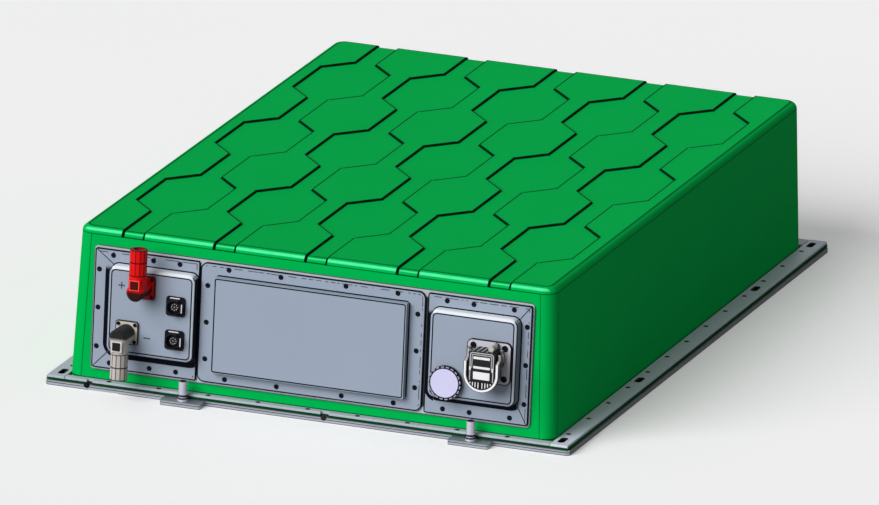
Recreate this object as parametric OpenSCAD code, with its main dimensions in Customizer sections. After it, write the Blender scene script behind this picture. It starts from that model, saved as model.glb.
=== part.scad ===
// Liquid cooled battery pack for an energy storage rack.
// Origin: centre of the underside. +X right, -Y the front wall with the connectors, +Z up.

/* [Cells] */
// Cells in one row
cells_in_row = 13; // [8:1:13]
// Rows of cells
cell_rows = 4; // [2:1:4]
// Width of a cell
cell_w = 173.7; // [160:0.1:174.5]
// Thickness of a cell
cell_d = 71.7; // [60:0.1:72]
// Height of a cell's case
cell_h = 204; // [180:0.5:204.5]
// Gap between neighbouring cells of a row
cell_gap = 0.8; // [0.3:0.1:1]
// Gap between rows
row_gap = 5; // [4:0.5:6]
// Thickness of the pads under the cells
pad_t = 1.5; // [1:0.1:3]
// Thickness of the end plates
end_plate_t = 18; // [12:0.5:20]
// Room between the outer rows and the foot of the cover's side walls
side_room = 15.6; // [12:0.1:24]
// Room between the back end plates and the cover's back wall
back_room = 13; // [11:0.5:30]
// Room for the connectors between the front end plates and the cover's front wall
front_room = 85; // [85:0.5:110]
// Room between the sheet over the busbars and the cover's roof
roof_room = 15; // [10:0.1:40]

/* [Tray] */
// Thickness of the lower plate, which holds the coolant lanes
channel_plate_t = 4.5; // [4:0.1:8]
// Thickness of the upper plate, which the cells stand on
cooling_plate_t = 3; // [2:0.1:6]
// Corner radius of the tray
tray_corner_r = 7; // [2:0.5:12]
// Depth of the coolant lanes
lane_depth = 3; // [1.5:0.1:3.5]
// Width of one coolant lane
lane_w = 42; // [30:1:48]
// Width of the ribs between the lanes
lane_rib = 9; // [5:1:14]
// Length of the headers that join the lanes at both ends
header_l = 46; // [20:1:70]

/* [Perimeter] */
// Thickness of the rubber seal under the cover
seal_t = 1.5; // [1:0.1:3]
// Thickness of the cover's flange
flange_t = 2.5; // [2:0.1:5]
// Thickness of the clamp strips
strip_t = 3.5; // [3:0.1:8]
// Distance from a side strip's outer edge to the tray's edge
strip_margin = 3.3; // [1:0.1:8]
// Gap between a strip and the foot of the cover
strip_gap = 0.8; // [0.3:0.1:3]
// Screws in a side strip
side_screws = 13; // [5:1:15]
// Distance from the tray's side edges to the side rows of screws
side_row_in = 21.5; // [18:0.5:23]
// Distance from the tray's ends to the ends of the side rows
side_screw_in = 60; // [56:1:90]
// Middle of the side rows, measured from the tray's centre
side_row_y = -3.5; // [-10:0.5:10]
// Screws in the front and the back strip
end_screws = 9; // [3:1:9]
// Distance from the cover's sides to the ends of the front and the back row
end_screw_in = 66.7; // [50:0.1:90]
// Width of the mounting slots
slot_w = 9; // [6:0.5:10]
// Length of the mounting slots, end to end
slot_l = 24; // [16:0.5:30]
// Distance from the tray's side edges to the mounting slots
slot_in = 19; // [16:0.5:20]
// Distance from the tray's ends to the outer slots
outer_slot_in = 26; // [24:1:30]
// Middle of the two outer slots
outer_slot_y = -1.2; // [-3:0.1:3]
// Places of the inner slots along the side rows, in screw pitches from the middle screw
inner_slots_at = [-2.5, 3.5];
// Widths of the two lever notches in the front edge
notch_w = [9, 13];
// Distance from the tray's left edge to the first lever notch
notch_in = 69; // [66:1:80]
// Place of the second lever notch
notch_mid_x = 28; // [0:1:60]
// Depth of the lever notches
notch_d = 6; // [3:0.5:8]

/* [Cover] */
// Distance from the tray's side edges to the cover
side_margin = 30.5; // [29:0.5:36]
// Distance from the tray's front edge to the cover
front_margin = 12.7; // [11:0.1:14]
// Distance from the tray's back edge to the cover
back_margin = 33; // [26:0.5:38]
// Lean of the cover's four walls
wall_draft = 2.1; // [1:0.1:3]
// Radius of the cover's upright corners
cover_corner_r = 20.5; // [20:0.5:30]
// Radius of the edge round the cover's top
cover_edge_r = 10; // [6:0.5:10]
// Wall thickness of the cover
cover_t = 3; // [2:0.1:4]

/* [Top pattern] */
// Recessed channels across the top
pattern_count = 5; // [2:1:5]
// Distance from the cover's sides to the middle of the outermost channels
channel_in = 91.9; // [80:0.1:110]
// Depth of the channels
pattern_depth = 2.2; // [1:0.1:3]
// Width of a channel where it is narrow
narrow_w = 32; // [16:1:40]
// Width of a channel where it is wide
wide_w = 109; // [80:1:120]
// Length of the first narrow stretch
first_narrow_l = 114; // [60:1:160]
// Length of the straight stretches
straight_l = 118; // [80:1:150]
// Length of the slanted stretches
slant_l = 43; // [20:1:60]

/* [Front wall] */
// Distance from the ends of the frame plate to the cover's sides
frame_side = 34.5; // [30:0.5:36]
// Distance from the strips up the wall to the frame plate
frame_foot = 14.4; // [12:0.2:16]
// Distance from the frame plate's top to the wall's top
frame_head = 24.2; // [20:0.2:28]
// Thickness of the frame plate
frame_t = 2; // [1:0.1:4]
// Thickness of the panels' seals
panel_seal_t = 0.8; // [0.5:0.1:2]
// Thickness of the panels
panel_t = 2.2; // [1.8:0.1:3]
// Distance from the panels' upper and lower edges to the frame plate's
panel_in_v = 3.9; // [2:0.1:5]
// Distance from the outer edges of the side panels to the frame plate's ends
panel_in_x = 2.8; // [1:0.1:4]
// Width of the left panel
left_panel_w = 161.7; // [161:0.1:164]
// Width of the right panel
right_panel_w = 159.7; // [159:0.1:164]
// Gap between the left and the middle panel
panel_gap = 1.5; // [1:0.1:4]
// Width of the raised pans on the side panels
pan_w = 135; // [133:0.5:138]
// Distance from the foot of the side panels to their pans
pan_foot = 27.95; // [26:0.05:30]
// Distance from the top of the side panels to their pans
pan_head = 19.15; // [17:0.05:21]
// Distance from the inner edge of the right panel to its pan
right_pan_in = 8.7; // [7:0.1:11]
// How far the pans stand out of their panels
pan_rise = 16; // [12:0.5:20]
// Corner radius of the pans
pan_corner_r = 12; // [11:0.5:16]
// Edge radius of the pans
pan_edge_r = 5; // [2:0.5:5]
// Distance from the ends of the middle panel to its raised rectangle
boss_in_x = 25; // [22:0.5:33]
// Distance from the upper and lower edge of the middle panel to the rectangle
boss_in_v = 18.3; // [17:0.1:24]
// How far the rectangle stands out
boss_rise = 11.3; // [6:0.1:14]
// Head radius of the countersunk screws
screw_head_r = 3.8; // [3.4:0.1:4.2]
// Shank radius of the countersunk screws
screw_r = 2; // [1.5:0.1:2.2]

/* [Power connectors] */
// Distances of the positive and the negative connector from the left pan's outer edge
power_in_x = [56.6, 33];
// Distance of the positive connector from the pan's top
positive_in_v = 25.75; // [24:0.05:28]
// Distance of the negative connector from the pan's foot
negative_in_v = 35.25; // [34:0.05:38]
// Side of the square receptacle flange
power_flange = 34.8; // [34:0.1:36]
// Thickness of the receptacle flange
power_flange_t = 3.5; // [2:0.1:4]
// Radius of the receptacle's shell
power_shell_r = 10.3; // [10:0.1:10.6]
// Radius of the plug
plug_r = 13; // [13:0.1:13.4]
// Height of the cable barrel's axis over the pan
plug_axis_n = 29.2; // [29:0.1:31]
// Length of the plug's elbow, from the swivel axis
elbow_l = 25.3; // [24:0.1:28]
// Length from the swivel axis to the open end of the gland nut
plug_reach = 63.6; // [62:0.1:66]
// Side of the release button
button_w = 11.4; // [9:0.1:12]
// Distance of the release button from the swivel axis
button_v = 12; // [10:0.5:13]
// Travel of the release button
button_travel = 2; // [1:0.1:2]
// Radius of the contact pin
contact_r = 4; // [3:0.1:4.2]
// Radius of the hole for the cable in the cable seal
cable_hole_r = 7.2; // [5:0.1:7.6]

/* [Signal connectors] */
// Distance of the two signal connectors from the left pan's inner edge
signal_in_x = 28.7; // [27:0.1:32]
// Their heights over the middle of the pan
signal_over = [17.8, -32.5];
// Side of the square flange
signal_flange = 29; // [28:0.2:30]
// Radius of the round shell
signal_shell_r = 11.5; // [11:0.1:12]
// Height of the shell over the pan
signal_h = 12; // [11:0.5:12.5]

/* [Service disconnect] */
// Distance of the service disconnect from the right pan's outer edge
disc_in_x = 40.6; // [39:0.1:42]
// Its height over the middle of the pan
disc_over = -0.5; // [-2:0.1:1]
// Width of the flange
disc_flange_w = 68; // [66:0.5:70]
// Height of the flange
disc_flange_h = 63.5; // [62:0.5:65]
// Spacing of the flange screws across
disc_screw_x = 48.5; // [48:0.5:49]
// Spacing of the flange screws up
disc_screw_v = 45.5; // [45:0.5:46.5]
// Outer width of the lever loop
lever_w = 53.5; // [53:0.1:55]
// Thickness of the lever's arms
lever_t = 4.8; // [4:0.1:5]
// Lift of the plug over the lever's quarter turn
disc_lift = 8; // [5:0.5:8]
// Distance from the lever's pivot to the fixed cam pin when closed
cam_start = 10.5; // [10:0.1:11]
// Radius of the fixed cam pins
cam_pin_r = 2.5; // [2:0.1:2.6]
// Radius of the lever's pivots
pivot_r = 3.6; // [3:0.1:3.8]

/* [Vent] */
// Distance of the vent valve from the right pan's inner edge
vent_in_x = 30.4; // [29:0.1:31]
// Its distance from the pan's foot
vent_in_v = 26.75; // [26:0.05:30]
// Radius of the valve's cap
vent_cap_r = 25; // [23:0.5:25.5]
// Height of the cap over the pan
vent_h = 10; // [8:0.5:12]
// Notches round the cap
vent_notches = 20; // [8:1:24]

/* [Coolant ports] */
// Distances of the inlet from the tray's left edge and of the outlet from its right edge
port_in = [217, 148];
// Distance from the tray's front edge to the ports, towards the front
port_out = 9; // [8.5:0.5:11]
// Width of the tabs that carry the ports
tab_w = 62; // [50:1:70]
// How far the tabs stand out of the front edge
tab_l = 22; // [18:0.5:26]
// Outer radius of the spigots
spigot_r = 6.3; // [5:0.1:6.5]
// Bore radius of the spigots
spigot_bore_r = 4.9; // [3:0.1:5]
// Height of the spigots over their tab
spigot_h = 28.7; // [24:0.1:34]
// Height of the bead over the tab
bead_h = 9; // [7:0.5:11]

/* [Hidden] */
$fn = 48;

// Running gap of parts that are only laid or slid together
fit = 0.3;
// Gap of a turning pin in its hole
turn_fit = 0.1;
// Gap that sealant fills between the cover and the frame plate
sealant_t = 0.1;
// Cutters run this far past what they cut
over = 1;

terminal_h = 3;
terminal_in = 23.85;
terminal_x = cell_w / 2 - terminal_in;
busbar_t = 3;
mica_t = 0.8;
cell_pitch = cell_d + cell_gap;
row_pitch = cell_w + row_gap;
stack_l = cells_in_row * cell_pitch - cell_gap;
rows_l = stack_l + 2 * (fit + end_plate_t);

cover_w = cell_rows * row_pitch - row_gap + 2 * (side_room + cover_t);
cover_l = rows_l + front_room + back_room + 2 * cover_t;
tray_w = cover_w + 2 * side_margin;
tray_l = cover_l + front_margin + back_margin;

tab_z = channel_plate_t + cooling_plate_t;
flange_z = tab_z + seal_t;
strip_z = flange_z + flange_t;
deck_z = strip_z + strip_t;
cell_z = tab_z + pad_t;
terminal_z = cell_z + cell_h + terminal_h;
roof_z = terminal_z + busbar_t + mica_t + roof_room;
top_z = roof_z + cover_t + pattern_depth;
cover_h = top_z - deck_z;
cover_front_y = -tray_l / 2 + front_margin;
cover_back_y = tray_l / 2 - back_margin;
strip_in_x = cover_w / 2 + strip_gap;
strip_out_x = tray_w / 2 - strip_margin;
pattern_pitch = (cover_w - 2 * channel_in) / (pattern_count - 1);
end_edge_gap = 1;
front_row_y = (-tray_l / 2 + end_edge_gap + cover_front_y - strip_gap) / 2;
back_row_y = (cover_back_y + strip_gap + tray_l / 2 - strip_margin) / 2;

frame_w = cover_w - 2 * frame_side;
frame_h = cover_h - frame_foot - frame_head;
panel_v = frame_foot + frame_h / 2;
panel_h = frame_h - 2 * panel_in_v;
side_outer_x = frame_w / 2 - panel_in_x;
left_inner_x = side_outer_x - left_panel_w;
right_inner_x = side_outer_x - right_panel_w;
mid_half_w = left_inner_x - panel_gap;
boss_w = 2 * (mid_half_w - boss_in_x);
boss_h = panel_h - 2 * boss_in_v;
pan_h = panel_h - pan_foot - pan_head;
pan_v = panel_v - panel_h / 2 + pan_foot + pan_h / 2;
right_pan_x = right_inner_x + right_pan_in;
panel_n = sealant_t + frame_t + panel_seal_t;
panel_face_n = panel_n + panel_t;
pan_face_n = panel_face_n + pan_rise;
left_pan_x = -left_inner_x - pan_w / 2;
right_pan_mid_x = right_pan_x + pan_w / 2;
power_x = [for (d = power_in_x) left_pan_x - pan_w / 2 + d];
power_v = [pan_v + pan_h / 2 - positive_in_v, pan_v - pan_h / 2 + negative_in_v];
signal_x = left_pan_x + pan_w / 2 - signal_in_x;
signal_v = [for (d = signal_over) pan_v + d];
disc_x = right_pan_mid_x + pan_w / 2 - disc_in_x;
disc_v = pan_v + disc_over;
vent_x = right_pan_x + vent_in_x;
vent_v = pan_v - pan_h / 2 + vent_in_v;
panel_edge_r = 3;
mid_corner_r = 11;
window_inset = 8;

// Screws of the middle panel: distances from its upper and lower edges and from its ends
mid_row_v = panel_h / 2 - 7.6;
mid_side_v = panel_h / 2 - 34.5;
mid_end_x = mid_half_w - 11.4;
mid_outer_x = mid_half_w - 43;
mid_inner_x = 50;
mid_screws = concat(
    [for (x = [-mid_outer_x, -mid_inner_x, mid_inner_x, mid_outer_x], v = [-mid_row_v, mid_row_v]) [x, v]],
    [for (x = [-mid_end_x, mid_end_x], v = [-mid_side_v, 0, mid_side_v]) [x, v]]
);
// Screws of a side panel: distances from its upper and lower edges and from its outer edge
side_row_v = panel_h / 2 - 8.8;
side_low_v = panel_h / 2 - 31.8;
side_mid_v = 0.5;
side_screws_in = [130.6, 89.7, 27.9];
side_edge_in = 7;
side_screws_at = concat(
    [for (d = side_screws_in, v = [-side_row_v, side_row_v]) [side_outer_x - d, v]],
    [for (v = [-side_low_v, side_mid_v, side_low_v]) [side_outer_x - side_edge_in, v]]
);
panel_screws_at = concat(
    mid_screws,
    [for (p = side_screws_at) [p[0], p[1]]],
    [for (p = side_screws_at) [-p[0], p[1]]]
);
side_row_x = tray_w / 2 - side_row_in;
side_pitch = (tray_l - 2 * side_screw_in) / (side_screws - 1);
end_pitch = (cover_w - 2 * end_screw_in) / (end_screws - 1);
strip_screws_at = concat(
    [for (s = [-1, 1], i = [0 : side_screws - 1])
        [s * side_row_x, side_row_y + (i - (side_screws - 1) / 2) * side_pitch]],
    [for (i = [0 : end_screws - 1]) [(i - (end_screws - 1) / 2) * end_pitch, front_row_y]],
    [for (i = [0 : end_screws - 1]) [(i - (end_screws - 1) / 2) * end_pitch, back_row_y]]
);
slot_x = tray_w / 2 - slot_in;
outer_slot_span = tray_l - 2 * outer_slot_in;
slots_at = [for (s = [-1, 1], pair = [0, 1], e = [0, 1])
    [s * slot_x, (pair == 0 ? outer_slot_y + (e - 0.5) * outer_slot_span
                            : side_row_y + inner_slots_at[e] * side_pitch)]];
notch_x = [notch_in - tray_w / 2, notch_mid_x];
port_x = [port_in[0] - tray_w / 2, tray_w / 2 - port_in[1]];
foot_pocket_in = 66.5;
foot_pocket_x = foot_pocket_in - tray_w / 2;
foot_pocket_w = 48;

rows_back_y = cover_back_y - cover_t - back_room;
cells_back_y = rows_back_y - end_plate_t - fit;
cells_front_y = cells_back_y - stack_l;
rows_front_y = cells_front_y - fit - end_plate_t;

function wall_in(z) = tan(wall_draft) * (z - deck_z);
function row_x(i) = (i - (cell_rows - 1) / 2) * row_pitch;
function cell_y(i) = cells_front_y + cell_d / 2 + i * cell_pitch;

module rounded_rect(w, l, r) {
    square([w - 2 * r, l], center = true);
    square([w, l - 2 * r], center = true);
    for (x = [-1, 1], y = [-1, 1]) {
        translate([x * (w / 2 - r), y * (l / 2 - r)]) circle(r = r);
    }
}

module rounded_plate(w, l, r, t) {
    linear_extrude(t) rounded_rect(w, l, r);
}

// The cover's body: four leaning walls, round corners and a round top edge
module drafted_block(inset, z_low, z_high) {
    r = cover_corner_r - inset;
    edge = min(cover_edge_r, r / 2);
    mid_y = (cover_front_y + cover_back_y) / 2;
    half_l = (cover_back_y - cover_front_y) / 2;
    hull() {
        for (x = [-1, 1], y = [-1, 1]) {
            translate([x * (cover_w / 2 - wall_in(z_low) - inset - r),
                       mid_y + y * (half_l - wall_in(z_low) - inset - r), z_low])
                cylinder(r = r, h = 0.01, $fn = 32);
            translate([x * (cover_w / 2 - wall_in(z_high - edge) - inset - r),
                       mid_y + y * (half_l - wall_in(z_high - edge) - inset - r), z_high - edge])
                rotate_extrude($fn = 32)
                    translate([r - edge, 0]) circle(r = edge, $fn = 32);
        }
    }
}

// Places its children on the front wall: x across, y up the wall, z out of it
module on_front_wall() {
    translate([0, cover_front_y, deck_z]) rotate([90 - wall_draft, 0, 0]) children();
}

module on_pan(x, v, turn = 0) {
    on_front_wall() translate([x, v, pan_face_n]) rotate([0, 0, turn]) children();
}

module screw_holes(r, z_low, z_high) {
    for (p = strip_screws_at) {
        translate([p[0], p[1], z_low - over]) cylinder(r = r, h = z_high - z_low + 2 * over, $fn = 24);
    }
}

module mounting_slots(z_low, z_high) {
    h = z_high - z_low + 2 * over;
    run = slot_l - slot_w;
    for (p = slots_at) {
        translate([p[0], p[1], z_low - over]) {
            translate([0, -run / 2, 0]) cylinder(r = slot_w / 2, h = h);
            translate([0, run / 2, 0]) cylinder(r = slot_w / 2, h = h);
            translate([-slot_w / 2, -run / 2, 0]) cube([slot_w, run, h]);
        }
    }
}

module lever_notches(z_low, z_high) {
    for (i = [0, 1]) {
        translate([notch_x[i] - notch_w[i] / 2, -tray_l / 2 - over, z_low - over])
            cube([notch_w[i], notch_d + over, z_high - z_low + 2 * over]);
    }
}

// Head at z = 0, shank towards -z
module countersunk_screw(length, head_r = screw_head_r, r = screw_r) {
    difference() {
        union() {
            translate([0, 0, -(head_r - r)]) cylinder(r1 = r, r2 = head_r, h = head_r - r, $fn = 24);
            translate([0, 0, -length]) cylinder(r = r, h = length - (head_r - r) / 2, $fn = 24);
        }
        translate([0, 0, -1.2]) cylinder(r = head_r * 0.38, h = 1.2 + over, $fn = 6);
    }
}

module countersink(depth) {
    cone = screw_head_r - screw_r;
    translate([0, 0, -cone]) cylinder(r1 = screw_r + fit, r2 = screw_head_r + fit, h = cone, $fn = 24);
    cylinder(r = screw_head_r + fit, h = over, $fn = 24);
    translate([0, 0, -depth - over]) cylinder(r = screw_r + fit, h = depth + over, $fn = 24);
}

// Head on z = 0, shank towards -z
module cap_screw(length, head_r, head_h, r) {
    difference() {
        union() {
            cylinder(r = head_r, h = head_h, $fn = 24);
            translate([0, 0, -length]) cylinder(r = r, h = length + head_h / 2, $fn = 24);
        }
        translate([0, 0, head_h - 1.4]) cylinder(r = head_r * 0.5, h = 1.4 + over, $fn = 6);
    }
}

// Outline of the tray plates: a rounded rectangle with the two port tabs
module tray_outline() {
    rounded_rect(tray_w, tray_l, tray_corner_r);
    for (x = port_x) {
        translate([x, -tray_l / 2]) rounded_rect(tab_w, 2 * tab_l, 3);
    }
}

lanes_half = 6;
lane_pitch = lane_w + lane_rib;
lane_field_w = 2 * lanes_half * lane_pitch - lane_rib;
lane_field_l = tray_l - 2 * (back_margin + 14);

module coolant_lanes() {
    z = channel_plate_t - lane_depth;
    y_low = -lane_field_l / 2;
    for (s = [-1, 1]) {
        for (i = [0 : lanes_half - 1]) {
            translate([s * (lane_rib / 2 + lane_w / 2 + i * lane_pitch), 0, z])
                rounded_plate(lane_w, lane_field_l - 2 * header_l + 2, 4, lane_depth + over);
        }
        header_w = lanes_half * lane_pitch - lane_rib;
        translate([s * (lane_rib / 2 + header_w / 2), y_low + header_l / 2, z])
            rounded_plate(header_w, header_l, 8, lane_depth + over);
    }
    translate([0, -y_low - header_l / 2, z])
        rounded_plate(lane_field_w, header_l, 8, lane_depth + over);
    feed_w = 2 * spigot_bore_r + 3;
    for (x = port_x) {
        feed_l = y_low + header_l / 2 + tray_l / 2 + port_out + feed_w / 2;
        translate([x, -tray_l / 2 - port_out - feed_w / 2 + feed_l / 2, z])
            rounded_plate(feed_w, feed_l, feed_w / 2 - 0.1, lane_depth + over);
    }
}

module channel_plate() {
    color("lightslategray") difference() {
        linear_extrude(channel_plate_t) tray_outline();
        coolant_lanes();
        screw_holes(screw_r + turn_fit, 2, channel_plate_t);
        mounting_slots(0, channel_plate_t);
        translate([foot_pocket_x, -tray_l / 2 - over, -over]) cube([foot_pocket_w, 10 + over, over + 1]);
    }
}

module cooling_plate() {
    color("lightslategray") difference() {
        translate([0, 0, channel_plate_t]) linear_extrude(cooling_plate_t) tray_outline();
        screw_holes(screw_r + turn_fit, channel_plate_t, tab_z);
        mounting_slots(channel_plate_t, tab_z);
        for (x = port_x) {
            translate([x, -tray_l / 2 - port_out, channel_plate_t - over])
                cylinder(r = spigot_r + turn_fit, h = cooling_plate_t + 2 * over);
        }
    }
}

base_ring_h = 2.4;
ring_h = 2;

module spigot(x) {
    translate([x, -tray_l / 2 - port_out, 0]) color("silver") difference() {
        union() {
            translate([0, 0, channel_plate_t + fit]) cylinder(r = spigot_r, h = tab_z + spigot_h - channel_plate_t - fit);
            translate([0, 0, tab_z]) cylinder(r = spigot_r + 1.6, h = base_ring_h);
            translate([0, 0, tab_z + bead_h]) cylinder(r = spigot_r + 1.3, h = 2.2);
        }
        translate([0, 0, channel_plate_t - over]) cylinder(r = spigot_bore_r, h = tab_z + spigot_h);
    }
}

module inlet_spigot() { spigot(port_x[0]); }
module outlet_spigot() { spigot(port_x[1]); }

// Rubber rings on the spigots: one on the base ring, one under the bead
module port_rings() {
    color("black") for (x = port_x, z = [tab_z + base_ring_h, tab_z + bead_h - ring_h]) {
        translate([x, -tray_l / 2 - port_out, z]) difference() {
            cylinder(r = spigot_r + 1.2, h = ring_h);
            translate([0, 0, -over]) cylinder(r = spigot_r + turn_fit, h = ring_h + 2 * over);
        }
    }
}

module perimeter_seal() {
    in_w = cover_w - 2 * cover_t - 2;
    in_l = cover_back_y - cover_front_y - 2 * cover_t - 2;
    mid_y = (cover_front_y + cover_back_y) / 2;
    color("black") difference() {
        translate([0, 0, tab_z]) rounded_plate(tray_w - 2, tray_l - 2, tray_corner_r, seal_t);
        translate([0, mid_y, tab_z - over]) rounded_plate(in_w, in_l, cover_corner_r - cover_t, seal_t + 2 * over);
        screw_holes(screw_r + fit, tab_z, flange_z);
        mounting_slots(tab_z, flange_z);
        lever_notches(tab_z, flange_z);
    }
}

// One recessed channel: narrow and wide stretches with slants between them
module channel_outline(x) {
    period = 2 * (straight_l + slant_l);
    y_low = cover_front_y + wall_in(top_z) + first_narrow_l;
    turns = ceil((cover_back_y - y_low) / period);
    side = concat(
        [[cover_front_y - over, narrow_w / 2]],
        [for (k = [0 : turns - 1]) each [
            [y_low + k * period, narrow_w / 2],
            [y_low + k * period + slant_l, wide_w / 2],
            [y_low + k * period + slant_l + straight_l, wide_w / 2],
            [y_low + k * period + 2 * slant_l + straight_l, narrow_w / 2]
        ]],
        [[y_low + turns * period, narrow_w / 2]]
    );
    last = len(side) - 1;
    intersection() {
        polygon(concat(
            [for (p = side) [x + p[1], p[0]]],
            [for (i = [last : -1 : 0]) [x - side[i][1], side[i][0]]]
        ));
        translate([x - wide_w, cover_front_y - over]) square([2 * wide_w, cover_back_y - cover_front_y + 2 * over]);
    }
}

module top_pattern() {
    difference() {
        for (i = [0 : pattern_count - 1]) {
            translate([0, 0, top_z - cover_edge_r])
                linear_extrude(cover_edge_r + over)
                    channel_outline((i - (pattern_count - 1) / 2) * pattern_pitch);
        }
        drafted_block(pattern_depth, flange_z, top_z - pattern_depth);
    }
}

// Windows behind the pans and the middle panel, cut through the frame and the cover's wall
module wall_windows(n_low, n_high) {
    h = n_high - n_low;
    for (x = [left_pan_x, right_pan_mid_x]) {
        translate([x, pan_v, n_low])
            rounded_plate(pan_w - 2 * window_inset, pan_h - 2 * window_inset, pan_corner_r - 4, h);
    }
    translate([0, panel_v, n_low])
        rounded_plate(boss_w - 2 * window_inset, boss_h - 2 * window_inset, pan_corner_r - 4, h);
}

module panel_screw_holes(n_low, n_high) {
    for (p = panel_screws_at) {
        translate([p[0], panel_v + p[1], n_low])
            cylinder(r = screw_r + fit, h = n_high - n_low, $fn = 24);
    }
}

module cover() {
    color("mediumseagreen") difference() {
        union() {
            drafted_block(0, flange_z, top_z);
            translate([0, 0, flange_z]) rounded_plate(tray_w - 1, tray_l - 1, tray_corner_r, flange_t);
        }
        drafted_block(cover_t, flange_z - over, roof_z);
        top_pattern();
        on_front_wall() wall_windows(-cover_t - 12, over);
        on_front_wall() panel_screw_holes(-cover_t - over, over);
        screw_holes(screw_r + fit, flange_z, strip_z);
        mounting_slots(flange_z, strip_z);
        lever_notches(flange_z, strip_z);
    }
}

module strip_cuts() {
    for (p = strip_screws_at) {
        translate([p[0], p[1], deck_z]) countersink(strip_t);
    }
    mounting_slots(strip_z, deck_z);
    lever_notches(strip_z, deck_z);
}

module side_strip(s) {
    w = strip_out_x - strip_in_x;
    color("lightsteelblue") difference() {
        translate([s * (strip_in_x + w / 2), 0, strip_z + strip_t / 2])
            cube([w, tray_l - 2 * end_edge_gap, strip_t], center = true);
        strip_cuts();
    }
}

module end_strip(y_low, y_high) {
    half = strip_in_x - end_edge_gap;
    color("lightsteelblue") difference() {
        translate([-half, y_low, strip_z]) cube([2 * half, y_high - y_low, strip_t]);
        strip_cuts();
    }
}

module left_strip() { side_strip(-1); }
module right_strip() { side_strip(1); }
module front_strip() { end_strip(-tray_l / 2 + end_edge_gap, cover_front_y - strip_gap); }
module back_strip() { end_strip(cover_back_y + strip_gap, tray_l / 2 - strip_margin); }

module flange_screws() {
    color("dimgray") for (p = strip_screws_at) {
        translate([p[0], p[1], deck_z]) countersunk_screw(deck_z - 2.5);
    }
}

module frame_plate() {
    color("lightsteelblue") on_front_wall() difference() {
        translate([0, panel_v, sealant_t]) rounded_plate(frame_w, frame_h, 9, frame_t);
        wall_windows(0, panel_n);
        panel_screw_holes(0, panel_n);
    }
}

module left_outline() {
    w = side_outer_x - left_inner_x;
    translate([-left_inner_x - w / 2, panel_v]) rounded_rect(w, panel_h, panel_edge_r);
}

module right_outline() {
    w = side_outer_x - right_inner_x;
    translate([right_inner_x + w / 2, panel_v]) rounded_rect(w, panel_h, panel_edge_r);
}

module mid_outline() {
    translate([0, panel_v]) rounded_rect(2 * mid_half_w, panel_h, mid_corner_r);
}

module panel_seals() {
    color("black") on_front_wall() difference() {
        translate([0, 0, panel_n - panel_seal_t]) linear_extrude(panel_seal_t) {
            intersection() {
                left_outline();
                translate([-fit, 0]) left_outline();
            }
            right_outline();
            mid_outline();
        }
        wall_windows(0, panel_n + over);
        panel_screw_holes(0, panel_n + over);
    }
}

// Section of a pan's rim, from a line inside the pan outwards
module rim_section(r, rise, rim) {
    square([r, rise - rim]);
    square([r - rim, rise]);
    intersection() {
        translate([r - rim, rise - rim]) circle(r = rim);
        square([r + over, rise + over]);
    }
}

module pan_run(w, l, rise, corner, rim) {
    rotate([90, 0, 0]) linear_extrude(l - 2 * corner, center = true) {
        for (m = [0, 1]) {
            mirror([m, 0]) translate([w / 2 - corner, 0]) rim_section(corner, rise, rim);
        }
        translate([corner - w / 2, 0]) square([w - 2 * corner, rise]);
    }
}

// A pan with round corners and a round rim, standing on z = 0
module pan_form(w, h, rise, corner, rim) {
    for (x = [-1, 1], y = [-1, 1]) {
        translate([x * (w / 2 - corner), y * (h / 2 - corner), 0])
            rotate_extrude() rim_section(corner, rise, rim);
    }
    pan_run(w, h, rise, corner, rim);
    rotate([0, 0, 90]) pan_run(h, w, rise, corner, rim);
}

module pan_shell_outer(x) {
    translate([x, pan_v, panel_n]) pan_form(pan_w, pan_h, panel_t + pan_rise, pan_corner_r, pan_edge_r);
}

module pan_shell_inner(x) {
    translate([x, pan_v, panel_n - over])
        pan_form(pan_w - 2 * panel_t, pan_h - 2 * panel_t, pan_rise + over,
                 pan_corner_r - panel_t, min(pan_edge_r, pan_corner_r - panel_t) / 2);
}

module panel_countersinks() {
    for (p = panel_screws_at) {
        translate([p[0], panel_v + p[1], panel_face_n]) countersink(panel_t + over);
    }
}

module pan_hole(x, v, r) {
    translate([x, v, pan_face_n - panel_t - over]) cylinder(r = r, h = panel_t + 2 * over);
}

power_rear_r = 9.2;
power_screw_at = 12.8;
signal_rear_r = 9;
signal_screw_at = 10.8;

module left_panel() {
    color("lightsteelblue") on_front_wall() difference() {
        union() {
            translate([0, 0, panel_n]) linear_extrude(panel_t) left_outline();
            pan_shell_outer(left_pan_x);
        }
        pan_shell_inner(left_pan_x);
        panel_countersinks();
        for (i = [0, 1]) {
            pan_hole(power_x[i], power_v[i], power_rear_r + fit);
            for (x = [-1, 1], y = [-1, 1]) {
                pan_hole(power_x[i] + x * power_screw_at, power_v[i] + y * power_screw_at, 1.7);
            }
            pan_hole(signal_x, signal_v[i], signal_rear_r + fit);
        }
    }
}

module middle_panel() {
    color("lightsteelblue") on_front_wall() difference() {
        union() {
            translate([0, 0, panel_n]) linear_extrude(panel_t) mid_outline();
            translate([-boss_w / 2, panel_v - boss_h / 2, panel_n]) cube([boss_w, boss_h, panel_t + boss_rise]);
        }
        translate([-boss_w / 2 + panel_t, panel_v - boss_h / 2 + panel_t, panel_n - over])
            cube([boss_w - 2 * panel_t, boss_h - 2 * panel_t, boss_rise + over]);
        panel_countersinks();
    }
}

disc_rear_w = 36;
disc_rear_h = 42;
vent_stem_r = 18;

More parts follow.
